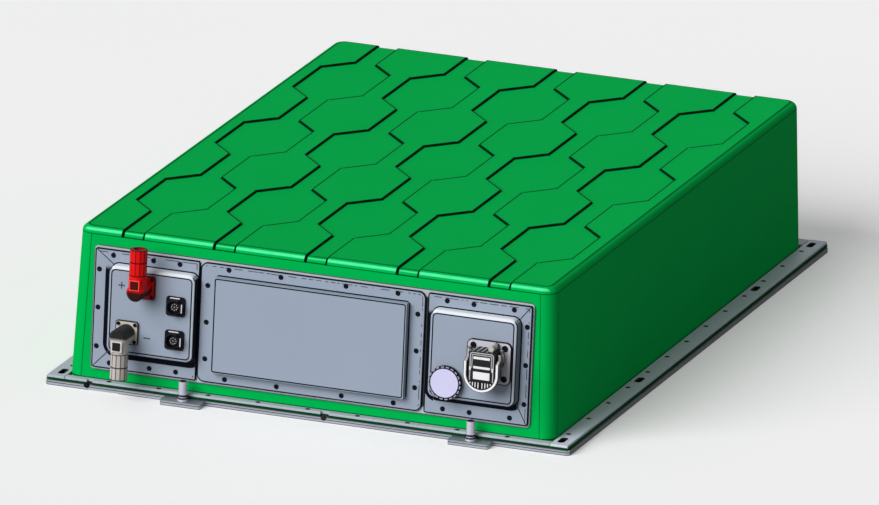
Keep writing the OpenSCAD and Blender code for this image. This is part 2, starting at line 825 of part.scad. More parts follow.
module right_panel() {
    color("lightsteelblue") on_front_wall() difference() {
        union() {
            translate([0, 0, panel_n]) linear_extrude(panel_t) right_outline();
            pan_shell_outer(right_pan_mid_x);
        }
        pan_shell_inner(right_pan_mid_x);
        panel_countersinks();
        translate([disc_x, disc_v, pan_face_n - panel_t - over])
            rounded_plate(disc_rear_w + 2 * fit, disc_rear_h + 2 * fit, 4, panel_t + 2 * over);
        for (x = [-1, 1], y = [-1, 1]) {
            pan_hole(disc_x + x * disc_screw_x / 2, disc_v + y * disc_screw_v / 2, 2.1);
        }
        pan_hole(vent_x, vent_v, vent_stem_r + fit);
    }
}

module panel_screws() {
    color("dimgray") on_front_wall() for (p = panel_screws_at) {
        translate([p[0], panel_v + p[1], panel_face_n]) countersunk_screw(panel_face_n + cover_t + 2);
    }
}

// Power connectors: a square flange with a round shell, and a swivelling elbow plug

socket_r = 6.4;
shell_bore_r = socket_r + 0.6;
shell_h = 18;
rear_l = 30;

module power_receptacle() {
    difference() {
        union() {
            rounded_plate(power_flange, power_flange, 4, power_flange_t);
            cylinder(r = power_shell_r, h = shell_h);
            translate([0, 0, -rear_l]) cylinder(r = power_rear_r, h = rear_l + over);
        }
        translate([0, 0, 2]) cylinder(r = shell_bore_r, h = shell_h);
        translate([0, 0, -rear_l - over]) cylinder(r = contact_r + turn_fit, h = rear_l + 4);
        for (x = [-1, 1], y = [-1, 1]) {
            translate([x * power_screw_at, y * power_screw_at, -over])
                cylinder(r = 1.8, h = power_flange_t + 2 * over, $fn = 24);
        }
    }
}

module positive_receptacle() { color("firebrick") on_pan(power_x[0], power_v[0]) power_receptacle(); }
module negative_receptacle() { color("dimgray") on_pan(power_x[1], power_v[1]) power_receptacle(); }

stud_l = 14;

module power_contacts() {
    color("goldenrod") for (i = [0, 1]) {
        on_pan(power_x[i], power_v[i]) {
            translate([0, 0, -rear_l - stud_l]) cylinder(r = contact_r, h = rear_l + stud_l + shell_h - 3);
        }
    }
}

module power_screws() {
    color("silver") for (i = [0, 1], x = [-1, 1], y = [-1, 1]) {
        on_pan(power_x[i], power_v[i])
            translate([x * power_screw_at, y * power_screw_at, power_flange_t]) cap_screw(10, 2.6, 2, 1.5);
    }
}

neck_l = 10;
elbow_bore_r = 7.4;
boss_side = 17;
boss_top = plug_axis_n + plug_r + 1.5;
button_floor = plug_axis_n + elbow_bore_r + 2.2;
plug_foot = power_flange_t + 0.6;

// Elbow plug, its cable barrel along +y
module power_plug() {
    difference() {
        union() {
            translate([0, 0, plug_foot]) cylinder(r = plug_r, h = plug_axis_n + plug_r - 3 - plug_foot);
            translate([0, 0, plug_axis_n + plug_r - 3]) cylinder(r1 = plug_r, r2 = plug_r - 3, h = 3);
            translate([0, 0, plug_axis_n]) rotate([-90, 0, 0]) cylinder(r = plug_r, h = elbow_l);
            translate([0, 0, plug_axis_n]) rotate([-90, 0, 0]) cylinder(r = plug_r - 2.6, h = elbow_l + neck_l);
            translate([-boss_side / 2, button_v - boss_side / 2, plug_axis_n])
                cube([boss_side, boss_side, boss_top - plug_axis_n]);
        }
        translate([0, 0, plug_foot - over]) cylinder(r = power_shell_r + fit, h = shell_h + 1 - plug_foot + over);
        translate([0, 0, plug_foot]) cylinder(r = socket_r + fit, h = plug_axis_n + 5 - plug_foot);
        translate([0, 0, plug_axis_n]) rotate([-90, 0, 0]) cylinder(r = elbow_bore_r, h = elbow_l + neck_l + over);
        translate([-button_w / 2 - fit, button_v - button_w / 2 - fit, button_floor])
            cube([button_w + 2 * fit, button_w + 2 * fit, boss_top]);
    }
}

// Female contact with its crimp tube in the barrel
module power_socket() {
    difference() {
        union() {
            translate([0, 0, plug_foot + 2]) cylinder(r = socket_r, h = plug_axis_n + 4 - plug_foot - 2);
            translate([0, 0, plug_axis_n]) rotate([-90, 0, 0]) cylinder(r = socket_r, h = elbow_l + 6);
        }
        translate([0, 0, plug_foot]) cylinder(r = contact_r + 0.2, h = shell_h - plug_foot);
        translate([0, elbow_l - 8, plug_axis_n]) rotate([-90, 0, 0]) cylinder(r = socket_r - 1.6, h = 20);
    }
}

nut_y = elbow_l + fit;
nut_l = plug_reach - nut_y;
seal_ring_r = plug_r - 3.2;

// Twelve-sided nut that clamps the cable seal
module gland_nut() {
    translate([0, nut_y, plug_axis_n]) rotate([-90, 0, 0]) difference() {
        union() {
            cylinder(r = plug_r, h = nut_l / 2 - 0.5, $fn = 12);
            cylinder(r = plug_r - 0.8, h = nut_l, $fn = 12);
            translate([0, 0, nut_l / 2 + 0.5]) cylinder(r = plug_r, h = nut_l / 2 - 0.5, $fn = 12);
        }
        translate([0, 0, -over]) cylinder(r = plug_r - 2.6 + turn_fit, h = neck_l + 1.3);
        cylinder(r = seal_ring_r + turn_fit, h = nut_l - 3);
        cylinder(r = cable_hole_r + 0.8, h = nut_l + over);
    }
}

seal_ring_l = 18;

module cable_seal() {
    translate([0, nut_y + nut_l - 3 - seal_ring_l, plug_axis_n]) rotate([-90, 0, 0]) difference() {
        cylinder(r = seal_ring_r, h = seal_ring_l);
        translate([0, 0, -over]) cylinder(r = cable_hole_r, h = seal_ring_l + 2 * over);
    }
}

module release_button() {
    h = boss_top + 1.6 - button_floor - button_travel - turn_fit;
    translate([-button_w / 2, button_v - button_w / 2, boss_top + 1.6 - h]) cube([button_w, button_w, h]);
}

module positive_plug() { color("red") on_pan(power_x[0], power_v[0]) power_plug(); }
module positive_socket() { color("goldenrod") on_pan(power_x[0], power_v[0]) power_socket(); }
module positive_gland_nut() { color("red") on_pan(power_x[0], power_v[0]) gland_nut(); }
module positive_cable_seal() { color("maroon") on_pan(power_x[0], power_v[0]) cable_seal(); }
module positive_button() { color("darkred") on_pan(power_x[0], power_v[0]) release_button(); }
module negative_plug() { color("dimgray") on_pan(power_x[1], power_v[1], 180) power_plug(); }
module negative_socket() { color("goldenrod") on_pan(power_x[1], power_v[1], 180) power_socket(); }
module negative_gland_nut() { color("rosybrown") on_pan(power_x[1], power_v[1], 180) gland_nut(); }
module negative_cable_seal() { color("black") on_pan(power_x[1], power_v[1], 180) cable_seal(); }
module negative_button() { color("black") on_pan(power_x[1], power_v[1], 180) release_button(); }

// Signal connectors: a square flange, a round shell with a keyway and a side latch

signal_wall = 1.6;
insert_r = 6.6;
insert_top = 6;

module signal_receptacle() {
    color("black") difference() {
        union() {
            rounded_plate(signal_flange, signal_flange, 4, 3);
            cylinder(r = signal_shell_r, h = signal_h);
            translate([0, 0, -16]) cylinder(r = signal_rear_r, h = 17);
            translate([signal_shell_r - 1.5, -4, 0]) cube([3.6, 8, signal_h - 1.5]);
        }
        translate([0, 0, 2]) cylinder(r = signal_shell_r - signal_wall, h = signal_h);
        for (a = [0, 130, 230]) {
            rotate([0, 0, a]) translate([-signal_shell_r - over, -1, 5]) cube([signal_wall + 1.6, 2, signal_h]);
        }
        for (x = [-1, 1], y = [-1, 1]) {
            translate([x * signal_screw_at, y * signal_screw_at, -over]) cylinder(r = 1.4, h = 3 + 2 * over, $fn = 24);
        }
    }
}

module signal_out_receptacle() { on_pan(signal_x, signal_v[0]) signal_receptacle(); }
module signal_in_receptacle() { on_pan(signal_x, signal_v[1]) signal_receptacle(); }

// Contact inserts with their rings of pins
module signal_inserts() {
    color("gray") for (v = signal_v) {
        on_pan(signal_x, v) {
            translate([0, 0, 2]) cylinder(r = insert_r, h = insert_top - 2);
            for (a = [0 : 45 : 315]) {
                rotate([0, 0, a]) translate([4.4, 0, insert_top - 1]) cylinder(r = 0.6, h = 2, $fn = 16);
            }
            translate([0, 0, insert_top - 1]) cylinder(r = 0.6, h = 2, $fn = 16);
        }
    }
}

// Service disconnect: a receptacle with two cam pins, and a plug that its lever draws in and out

tower_w = 41;
tower_low = -24;
tower_high = 22;
tower_top = 19;
tower_wall = 2.4;
flange_plate_t = 4;
disc_depth = 38;
// Round post beside the tower, where the interlock's contacts plug in
interlock_r = 4;
interlock_h = 30;
pivot_w = 3.5;
pivot_n = cam_start + 15.5;
head_low = -27.5;
head_top = 33.5;
lever_low_n = 27;
lever_high_n = 36;
loop_end = -37.9;
slot_half = cam_pin_r + 0.75;

module tower_form(inset, n_low, n_high) {
    h = tower_high - tower_low - 2 * inset;
    translate([0, (tower_low + tower_high) / 2, n_low])
        rounded_plate(tower_w - 2 * inset, h, 6 - inset, n_high - n_low);
}

module disconnect_receptacle() {
    color("dimgray") on_pan(disc_x, disc_v) difference() {
        union() {
            rounded_plate(disc_flange_w, disc_flange_h, 8.7, flange_plate_t);
            tower_form(0, 0, tower_top);
            translate([0, 0, -disc_depth]) rounded_plate(disc_rear_w, disc_rear_h, 4, disc_depth + over);
            translate([0, pivot_w, pivot_n - cam_start]) rotate([0, 90, 0])
                cylinder(r = cam_pin_r, h = lever_w - 1, center = true);
            translate([12, tower_high + interlock_r + 0.8, 0]) cylinder(r = interlock_r, h = interlock_h);
        }
        tower_form(tower_wall, flange_plate_t, tower_top + over);
        translate([0, -1, -disc_depth + 4])
            rounded_plate(disc_rear_w - 6, disc_rear_h - 8, 3, disc_depth + flange_plate_t);
        for (x = [-1, 1], y = [-1, 1]) {
            translate([x * disc_screw_x / 2, y * disc_screw_v / 2, -over])
                cylinder(r = 2.2, h = flange_plate_t + 2 * over, $fn = 24);
        }
        for (x = jaw_x) {
            translate([x, 0, -disc_depth - over]) cylinder(r = 3 + turn_fit, h = 4 + 2 * over);
        }
    }
}

module disconnect_screws() {
    color("silver") for (x = [-1, 1], y = [-1, 1]) {
        on_pan(disc_x, disc_v)
            translate([x * disc_screw_x / 2, y * disc_screw_v / 2, flange_plate_t]) cap_screw(10, 3.6, 2.6, 1.9);
    }
}

jaw_x = [-8.5, 8.5];
jaw_low = -disc_depth + 4.2;
jaw_top = -6;
blade_t = 3;
blade_top = flange_plate_t + 8;
// The blades leave the jaws before the plug is fully up
blade_low = jaw_top - (disc_lift - 2);

// Two jaws in the bottom of the receptacle, each with a stud through its floor
module disconnect_jaws() {
    color("goldenrod") for (x = jaw_x) {
        on_pan(disc_x, disc_v) difference() {
            union() {
                translate([x - 5, -12, jaw_low]) cube([10, 24, jaw_top - jaw_low]);
                translate([x, 0, jaw_low - 12]) cylinder(r = 3, h = 13);
            }
            translate([x - blade_t / 2 - fit, -12 - over, jaw_low + 6])
                cube([blade_t + 2 * fit, 24 + 2 * over, jaw_top - jaw_low]);
        }
    }
}

module disconnect_plug() {
    r = 12;
    color("black") on_pan(disc_x, disc_v) difference() {
        union() {
            tower_form(tower_wall + 0.4, flange_plate_t + 2, tower_top + 2);
            translate([0, 0, tower_top + fit]) linear_extrude(head_top - tower_top - fit) {
                for (x = [-1, 1]) {
                    translate([x * (20 - r), head_low + r]) circle(r = r);
                    translate([x * (20 - 4), tower_high - 4]) circle(r = 4);
                }
                translate([-20, head_low + r]) square([40, tower_high - head_low - r - 4]);
                translate([-20 + r, head_low]) square([40 - 2 * r, 10 + r]);
                translate([-16, 0]) square([32, tower_high]);
            }
            translate([0, pivot_w, pivot_n]) rotate([0, 90, 0]) cylinder(r = pivot_r, h = lever_w - 0.6, center = true);
        }
        translate([-13, -20, head_top - 1.5]) cube([26, 12, over + 1.5]);
        translate([-13, -4, head_top - 1.5]) cube([26, 4, over + 1.5]);
        translate([-17, -19, flange_plate_t]) cube([34, 36, blade_top - flange_plate_t]);
    }
}

// Fuse link: two blades and the bridge between them, held in the plug
module disconnect_blades() {
    color("goldenrod") on_pan(disc_x, disc_v) {
        for (x = jaw_x) {
            translate([x - blade_t / 2, -10, blade_low]) cube([blade_t, 20, blade_top - blade_low]);
        }
        translate([jaw_x[0] - blade_t / 2, -10, blade_top - blade_t])
            cube([jaw_x[1] - jaw_x[0] + blade_t, 20, blade_t]);
    }
}

// The cam slot's centre line in the lever's own frame, [n, w] measured from the pivot:
// its radius grows evenly with the lever's angle, so the plug rises evenly
function cam_r(a) = cam_start + disc_lift * a / 90;
function cam_point(a, side) = [-(cam_r(a) + side) * cos(a), (cam_r(a) + side) * sin(a)];
cam_step = 6;
cam_end = 108;

module cam_slot_2d() {
    polygon(concat(
        [for (a = [0 : cam_step : cam_end]) cam_point(a, slot_half)],
        [for (a = [cam_end : -cam_step : 0]) cam_point(a, -slot_half)]
    ));
    translate([-cam_start, 0]) circle(r = slot_half);
}

// Side view of one arm, [n, w] from the pivot
module arm_side_2d() {
    circle(r = pivot_r + 3.6);
    intersection() {
        polygon(concat(
            [[0, 0], [-cam_start, -6]],
            [for (a = [-6 : cam_step : 96]) cam_point(a, slot_half + 2.8)],
            [[0, cam_start]]
        ));
        translate([-30, -12]) square([38, 12 + cam_r(90) + 2]);
    }
    translate([lever_low_n - pivot_n, loop_end + lever_w / 2 - pivot_w])
        square([lever_high_n - lever_low_n, pivot_w - loop_end - lever_w / 2 + 3]);
}

module disconnect_lever() {
    color("whitesmoke") on_pan(disc_x, disc_v) {
        difference() {
            union() {
                translate([0, 0, lever_low_n]) linear_extrude(lever_high_n - lever_low_n) difference() {
                    translate([0, loop_end + lever_w / 2]) circle(r = lever_w / 2);
                    translate([0, loop_end + lever_w / 2]) circle(r = lever_w / 2 - lever_t);
                    translate([-lever_w, loop_end + lever_w / 2]) square([2 * lever_w, lever_w]);
                }
                for (s = [-1, 1]) {
                    translate([s * (lever_w / 2 - lever_t / 2), pivot_w, pivot_n]) rotate([0, -90, 0])
                        linear_extrude(lever_t, center = true) difference() {
                            arm_side_2d();
                            cam_slot_2d();
                        }
                }
            }
            translate([0, pivot_w, pivot_n]) rotate([0, 90, 0])
                cylinder(r = pivot_r + turn_fit, h = lever_w + 2, center = true);
        }
    }
}

// Vent valve: a stem through the pan, a nut behind it, a membrane and a notched cap

vent_flange_t = 3;
vent_bore_r = 13;

module vent_body() {
    color("dimgray") on_pan(vent_x, vent_v) difference() {
        union() {
            cylinder(r = vent_cap_r - 2, h = vent_flange_t);
            translate([0, 0, -panel_t - 9]) cylinder(r = vent_stem_r, h = panel_t + 10);
        }
        translate([0, 0, -panel_t - 10]) cylinder(r = vent_bore_r, h = panel_t + vent_flange_t + 12);
        translate([0, 0, vent_flange_t - 1.5]) cylinder(r = vent_bore_r + 3, h = 2.5);
    }
}

module vent_nut() {
    color("silver") on_pan(vent_x, vent_v) translate([0, 0, -panel_t - 6.1]) difference() {
        cylinder(r = vent_stem_r + 4.5, h = 6, $fn = 6);
        translate([0, 0, -over]) cylinder(r = vent_stem_r + turn_fit, h = 6 + 2 * over);
    }
}

module vent_cap() {
    color("lavender") on_pan(vent_x, vent_v) difference() {
        translate([0, 0, vent_flange_t]) cylinder(r = vent_cap_r, h = vent_h - vent_flange_t);
        translate([0, 0, vent_flange_t - over]) cylinder(r = vent_cap_r - 3.5, h = vent_h - vent_flange_t - 1.2);
        for (i = [0 : vent_notches - 1]) {
            rotate([0, 0, i * 360 / vent_notches])
                translate([vent_cap_r - 2, -1.4, vent_flange_t + 1.6]) cube([3, 2.8, vent_h - vent_flange_t]);
        }
        translate([0, 0, vent_h - 0.6]) difference() {
            cylinder(r = vent_cap_r - 2.6, h = 1);
            translate([0, 0, -over]) cylinder(r = vent_cap_r - 3.2, h = 1 + 2 * over);
        }
    }
}

module vent_membrane() {
    color("white") on_pan(vent_x, vent_v)
        translate([0, 0, vent_flange_t - 1.5]) cylinder(r = vent_bore_r + 2.7, h = 0.8);
}

// Cells and what holds and joins them

module thermal_pads() {
    color("lightpink") for (i = [0 : cell_rows - 1]) {
        translate([row_x(i) - cell_w / 2, cells_front_y, tab_z]) cube([cell_w, stack_l, pad_t]);
    }
}

module cell() {
    translate([-cell_w / 2, -cell_d / 2, 0]) cube([cell_w, cell_d, cell_h]);
    for (x = [-terminal_x, terminal_x]) {
        translate([x, 0, cell_h - over]) cylinder(r = 9, h = terminal_h + over, $fn = 24);
    }
}

module cell_row(i) {
    color("cornflowerblue") if (i < cell_rows) for (k = [0 : cells_in_row - 1]) {
        translate([row_x(i), cell_y(k), cell_z]) cell();
    }
}

module cell_row_1() { cell_row(0); }
module cell_row_2() { cell_row(1); }
module cell_row_3() { cell_row(2); }
module cell_row_4() { cell_row(3); }

module end_plates() {
    h = cell_h - 14;
    color("gainsboro") for (i = [0 : cell_rows - 1], y = [rows_front_y, rows_back_y - end_plate_t]) {
        translate([row_x(i) - cell_w / 2, y, tab_z]) cube([cell_w, end_plate_t, h]);
    }
}

module side_plates() {
    t = row_gap - 2 * fit;
    color("silver") for (i = [0 : cell_rows]) {
        translate([row_x(i) - row_pitch / 2 - t / 2, rows_front_y, tab_z])
            cube([t, rows_back_y - rows_front_y, cell_h - 20]);
    }
}

// Each bar joins two neighbouring cells, on alternate sides of its row, and at the back two rows
module cell_busbars() {
    color("silver") {
        for (i = [0 : cell_rows - 1], k = [0 : cells_in_row - 2]) {
            s = (k + i) % 2 == 0 ? 1 : -1;
            translate([row_x(i) + s * terminal_x - 13, cell_y(k) - 15, terminal_z])
                cube([26, cell_pitch + 30, busbar_t]);
        }
        for (i = [0 : 2 : cell_rows - 2]) {
            translate([row_x(i) + terminal_x - 13, cell_y(cells_in_row - 1) - 15, terminal_z])
                cube([row_pitch - 2 * terminal_x + 26, 30, busbar_t]);
        }
    }
}

module sampling_strips() {
    color("orange") for (i = [0 : cell_rows - 1]) {
        translate([row_x(i) - 20, cells_front_y + 5, cell_z + cell_h]) cube([40, stack_l - 10, 0.6]);
    }
}

module mica_sheet() {
    color("beige") translate([-cell_rows * row_pitch / 2 + 12, cells_front_y + 4, terminal_z + busbar_t])
        cube([cell_rows * row_pitch - 24, stack_l - 8, mica_t]);
}

// Bars from the connectors to the cells

function wall_y(v, n) = cover_front_y + v * sin(wall_draft) - n * cos(wall_draft);
function wall_z(v, n) = deck_z + v * cos(wall_draft) + n * sin(wall_draft);
stud_n = pan_face_n - rear_l - stud_l / 2;
bar_half = 13;

module bar_box(x0, x1, y0, y1, z0, z1) {
    translate([x0, y0, z0]) cube([x1 - x0, y1 - y0, z1 - z0]);
}

module positive_busbar() {
    x = power_x[0];
    y = wall_y(power_v[0], stud_n);
    z = wall_z(power_v[0], stud_n);
    end_x = row_x(0) - terminal_x;
    color("chocolate") difference() {
        union() {
            bar_box(x - 11, x + bar_half, y - 1.5, y + 1.5, z - 12, terminal_z + busbar_t);
            bar_box(end_x - 12, x + bar_half, y - 1.5, y + 22, terminal_z, terminal_z + busbar_t);
            bar_box(end_x - 12, end_x + 12, y, cell_y(0) + 8, terminal_z, terminal_z + busbar_t);
        }
        on_front_wall() translate([x, power_v[0], stud_n - 10]) cylinder(r = contact_r + fit, h = 20);
    }
}

module negative_busbar() {
    x = power_x[1];
    y = wall_y(power_v[1], stud_n);
    z = wall_z(power_v[1], stud_n);
    run_y = rows_front_y - 46;
    end_x = row_x(cell_rows - 1) + terminal_x;
    color("chocolate") difference() {
        union() {
            bar_box(x - 20, x + 7, y - 1.5, y + 1.5, z - bar_half, z + bar_half);
            bar_box(x - 20, x + 7, y - 1.5, run_y + 1.5, z - bar_half, z - bar_half + 3);
            bar_box(x - 20, end_x + 12, run_y - 1.5, run_y + 1.5, z - bar_half, z + bar_half);
            bar_box(end_x - 12, end_x + 12, run_y - 1.5, run_y + 1.5, z - bar_half, terminal_z + busbar_t);
            bar_box(end_x - 12, end_x + 12, run_y - 1.5, cell_y(0) + 8, terminal_z, terminal_z + busbar_t);
        }
        on_front_wall() translate([x, power_v[1], stud_n - 10]) cylinder(r = contact_r + fit, h = 20);
    }
}

jaw_stud_n = pan_face_n - disc_depth - 3;

module disconnect_busbar(jaw, end_x, depth) {
    x = disc_x + jaw;
    y = wall_y(disc_v, jaw_stud_n) + depth;
    z = wall_z(disc_v, jaw_stud_n);
    difference() {
        union() {
            bar_box(end_x - 12, x + 6, y - 1, y + 1, z - 9, z + 9);
            bar_box(end_x - 12, end_x + 12, y - 1, y + 1, z - 9, terminal_z + busbar_t);
            bar_box(end_x - 12, end_x + 12, y - 1, cell_y(0) + 8, terminal_z, terminal_z + busbar_t);
        }
        on_pan(x, disc_v) translate([0, 0, -disc_depth - 30]) cylinder(r = 3 + fit, h = 40);
        if (depth > 1) {
            on_pan(disc_x + jaw_x[0], disc_v) translate([0, 0, -disc_depth - 30]) cylinder(r = 5, h = 40);
        }
    }
}

module disconnect_busbars() {
    color("chocolate") {
        disconnect_busbar(jaw_x[0], row_x(2) - terminal_x, 0);
        disconnect_busbar(jaw_x[1], row_x(1) + terminal_x, 4);
    }
}

bmu_w = 200;
bmu_h = 110;
bmu_d = 28;
bmu_z = 60;
plug_pitch = 40;
chip_w = 24;

// Shallow case on the front end plates, open to the front
module bmu_case() {
    color("darkslategray") difference() {
        translate([-bmu_w / 2, rows_front_y - bmu_d, bmu_z]) cube([bmu_w, bmu_d, bmu_h]);
        translate([-bmu_w / 2 + 2, rows_front_y - bmu_d - over, bmu_z + 2]) cube([bmu_w - 4, bmu_d - 2 + over, bmu_h - 4]);
    }
    color("darkslategray") for (x = [-1, 1], z = [10, bmu_h - 10]) {
        translate([x * (bmu_w / 2 - 10), rows_front_y - 2.5, bmu_z + z]) rotate([90, 0, 0])
            cylinder(r = 3, h = 8.5, $fn = 24);
    }
}

module bmu_board() {
    color("darkgreen") translate([-bmu_w / 2 + 3, rows_front_y - 12.6, bmu_z + 3]) cube([bmu_w - 6, 1.6, bmu_h - 6]);
    color("black") for (i = [-1.5 : 1.5]) {
        translate([i * plug_pitch - chip_w / 2, rows_front_y - 20, bmu_z + 12]) cube([chip_w, 8, 16]);
    }
    color("black") translate([-chip_w - 6, rows_front_y - 15, bmu_z + bmu_h / 2]) cube([chip_w, 3, chip_w]);
}

channel_plate();
cooling_plate();
inlet_spigot();
outlet_spigot();
port_rings();
perimeter_seal();
cover();
left_strip();
right_strip();
front_strip();
back_strip();
flange_screws();
frame_plate();
panel_seals();
left_panel();
middle_panel();
right_panel();
panel_screws();
positive_receptacle();
negative_receptacle();
power_contacts();
power_screws();
positive_plug();
positive_socket();
positive_gland_nut();
positive_cable_seal();
positive_button();
negative_plug();
negative_socket();
negative_gland_nut();
negative_cable_seal();
negative_button();
signal_out_receptacle();
signal_in_receptacle();
signal_inserts();
disconnect_receptacle();
disconnect_screws();
disconnect_jaws();
disconnect_plug();
disconnect_blades();
disconnect_lever();
vent_body();
vent_nut();
vent_cap();
vent_membrane();
thermal_pads();
cell_row_1();
cell_row_2();
cell_row_3();
cell_row_4();
end_plates();
side_plates();
cell_busbars();
sampling_strips();
mica_sheet();
positive_busbar();
negative_busbar();
disconnect_busbars();
bmu_case();
bmu_board();
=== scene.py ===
import math

import bmesh
import bpy
from mathutils import Matrix, Vector


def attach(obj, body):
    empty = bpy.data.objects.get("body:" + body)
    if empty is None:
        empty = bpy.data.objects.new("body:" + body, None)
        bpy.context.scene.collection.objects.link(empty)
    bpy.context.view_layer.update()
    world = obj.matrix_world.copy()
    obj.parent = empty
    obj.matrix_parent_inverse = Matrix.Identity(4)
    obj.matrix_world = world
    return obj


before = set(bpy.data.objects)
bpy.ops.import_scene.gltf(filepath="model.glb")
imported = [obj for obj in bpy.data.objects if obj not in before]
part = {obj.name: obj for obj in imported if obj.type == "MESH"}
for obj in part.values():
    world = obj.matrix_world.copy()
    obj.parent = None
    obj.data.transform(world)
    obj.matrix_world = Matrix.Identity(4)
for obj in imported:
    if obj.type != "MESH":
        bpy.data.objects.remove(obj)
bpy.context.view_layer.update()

# The camera stands in front and a little to the right of the pack, above it,
# and far away, because the picture shows the pack almost without perspective.
bearing, height, tilt = math.radians(19.732), math.radians(16.785), math.radians(-1.807)
aim, distance = Vector((0.01665, -0.0624, 0.1179)), 33.861
back = Vector((math.sin(bearing) * math.cos(height), -math.cos(bearing) * math.cos(height), math.sin(height)))
level = Vector((math.cos(bearing), math.sin(bearing), 0))
upright = back.cross(level)
across = math.cos(tilt) * level - math.sin(tilt) * upright
above = math.sin(tilt) * level + math.cos(tilt) * upright
camera = bpy.data.objects.new("camera", bpy.data.cameras.new("camera"))
bpy.context.scene.collection.objects.link(camera)
camera.data.lens = 950
camera.data.clip_start, camera.data.clip_end = 1, 200
turned_to = Matrix((across, above, back)).transposed().to_4x4()
camera.matrix_world = Matrix.Translation(aim + back * distance) @ turned_to
bpy.context.scene.camera = camera

# One broad soft lamp from the front left. The room adds an even light from all sides.
bpy.context.scene.view_settings.view_transform = "Standard"
softbox = bpy.data.objects.new("softbox", bpy.data.lights.new("softbox", "SUN"))
softbox.data.energy, softbox.data.angle = 3.1, math.radians(45)
to_lamp = Vector((-0.42, -0.80, 0.56))
softbox.rotation_euler = to_lamp.to_track_quat("Z", "Y").to_euler()
bpy.context.scene.collection.objects.link(softbox)


class Amount:
    """A number or a colour that changes over a surface. It wraps a shader socket and takes part in sums."""

    def __init__(self, nodes, socket):
        self.nodes, self.socket = nodes, socket

    def maths(self, operation, a, b=0.0):
        """Adds one Math node."""
        return self.nodes.node("Math", {"operation": operation}, {0: a, 1: b})

    def __add__(self, other):
        return self.maths("ADD", self, other)

    def __radd__(self, other):
        return self.maths("ADD", other, self)

    def __sub__(self, other):
        return self.maths("SUBTRACT", self, other)

    def __rsub__(self, other):
        return self.maths("SUBTRACT", other, self)

    def __mul__(self, other):
        return self.maths("MULTIPLY", self, other)

    def __rmul__(self, other):
        return self.maths("MULTIPLY", other, self)

    def __truediv__(self, other):
        return self.maths("DIVIDE", self, other)

    def __abs__(self):
        return self.maths("ABSOLUTE", self)

    def most(self, other):
        return self.maths("MAXIMUM", self, other)

    def least(self, other):
        return self.maths("MINIMUM", self, other)

    def root(self):
        return self.maths("SQRT", self)

    def far(self, other):
        """How far away a point is that lies this number along and the other one across."""
        return (self * self + other * other).root()

    def folded(self, length):
        """Runs from 0 to the length and back again, over and over."""
        return self.maths("PINGPONG", self, length)

    def step(self, low, high, start=0.0, end=1.0):
        """Goes smoothly from start to end while the number goes from low to high."""
        return self.nodes.node("MapRange", {"interpolation_type": "SMOOTHSTEP"}, {
            "Value": self, "From Min": low, "From Max": high, "To Min": start, "To Max": end})

    def band(self, low, high, soft=0.0003):
        """Is 1 from low to high and 0 beyond."""
        return self.step(low - soft, low) * self.step(high, high + soft, 1, 0)


class Nodes:
    """The shader nodes of a material or of the room."""

    def __init__(self, tree):
        self.tree = tree

    def node(self, kind, settings, sockets, out=0):
        """Adds a node of a kind, gives it its settings, and sets or links its sockets."""
        made = self.tree.nodes.new("ShaderNode" + kind)
        for key, value in settings.items():
            setattr(made, key, value)
        for key, value in sockets.items():
            if isinstance(value, Amount):
                self.tree.links.new(value.socket, made.inputs[key])
            else:
                made.inputs[key].default_value = value
        return Amount(self, made.outputs[out])

    def seen(self):
        """Is 1 for what the camera and glossy surfaces see, and 0 for what lights the object."""
        by_camera = self.node("LightPath", {}, {}, "Is Camera Ray")
        by_gloss = self.node("LightPath", {}, {}, "Is Glossy Ray")
        return by_camera.most(by_gloss)


class Finish(Nodes):
    """A material with one Principled shader. Its constants are set on the shader's own sockets."""

    def __init__(self, name, **constants):
        self.material = bpy.data.materials.new(name)
        self.material.use_nodes = True
        super().__init__(self.material.node_tree)
        self.shader = self.tree.nodes["Principled BSDF"]
        for socket, value in constants.items():
            self.shader.inputs[socket.replace("_", " ").title().replace("Ior", "IOR")].default_value = value

    def place(self):
        """The three numbers of a point of the piece, in metres."""
        at = self.node("TexCoord", {}, {}, "Object")
        return [self.node("SeparateXYZ", {}, {0: at}, axis) for axis in range(3)]

    def noise(self, scale, detail=4.0, stretch=(1, 1, 1)):
        """Wanders between 0 and 1, fixed to the piece. A stretch above 1 draws it finer along that axis."""
        at = self.node("Mapping", {}, {"Vector": self.node("TexCoord", {}, {}, "Object"), "Scale": stretch})
        return self.node("TexNoise", {}, {"Vector": at, "Scale": scale, "Detail": detail})

    def mix(self, share, a, b):
        """Is the colour a where the share is 0 and b where it is 1."""
        a, b = (colour if isinstance(colour, Amount) else (*colour, 1) for colour in (a, b))
        return self.node("Mix", {"data_type": "RGBA"}, {"Factor": share, 6: a, 7: b}, 2)

    def mottled(self, dark, light, scale=35, detail=4.0):
        """A colour that wanders between two shades."""
        return self.mix(self.noise(scale, detail), dark, light)

    def bump(self, depth, amount, strength):
        """A relief as deep as the amount says, with the given depth in metres at 1."""
        return self.node("Bump", {}, {"Strength": strength, "Distance": depth, "Height": amount})

    def set(self, **links):
        """Links what varies over the surface to the shader."""
        for key, amount in links.items():
            self.tree.links.new(amount.socket, self.shader.inputs[key.replace("_", " ").title()])
        return self

    def on(self, *names):
        """Gives the finish to pieces of the CAD model."""
        for name in names:
            part[name].data.materials.clear()
            part[name].data.materials.append(self.material)
        return self


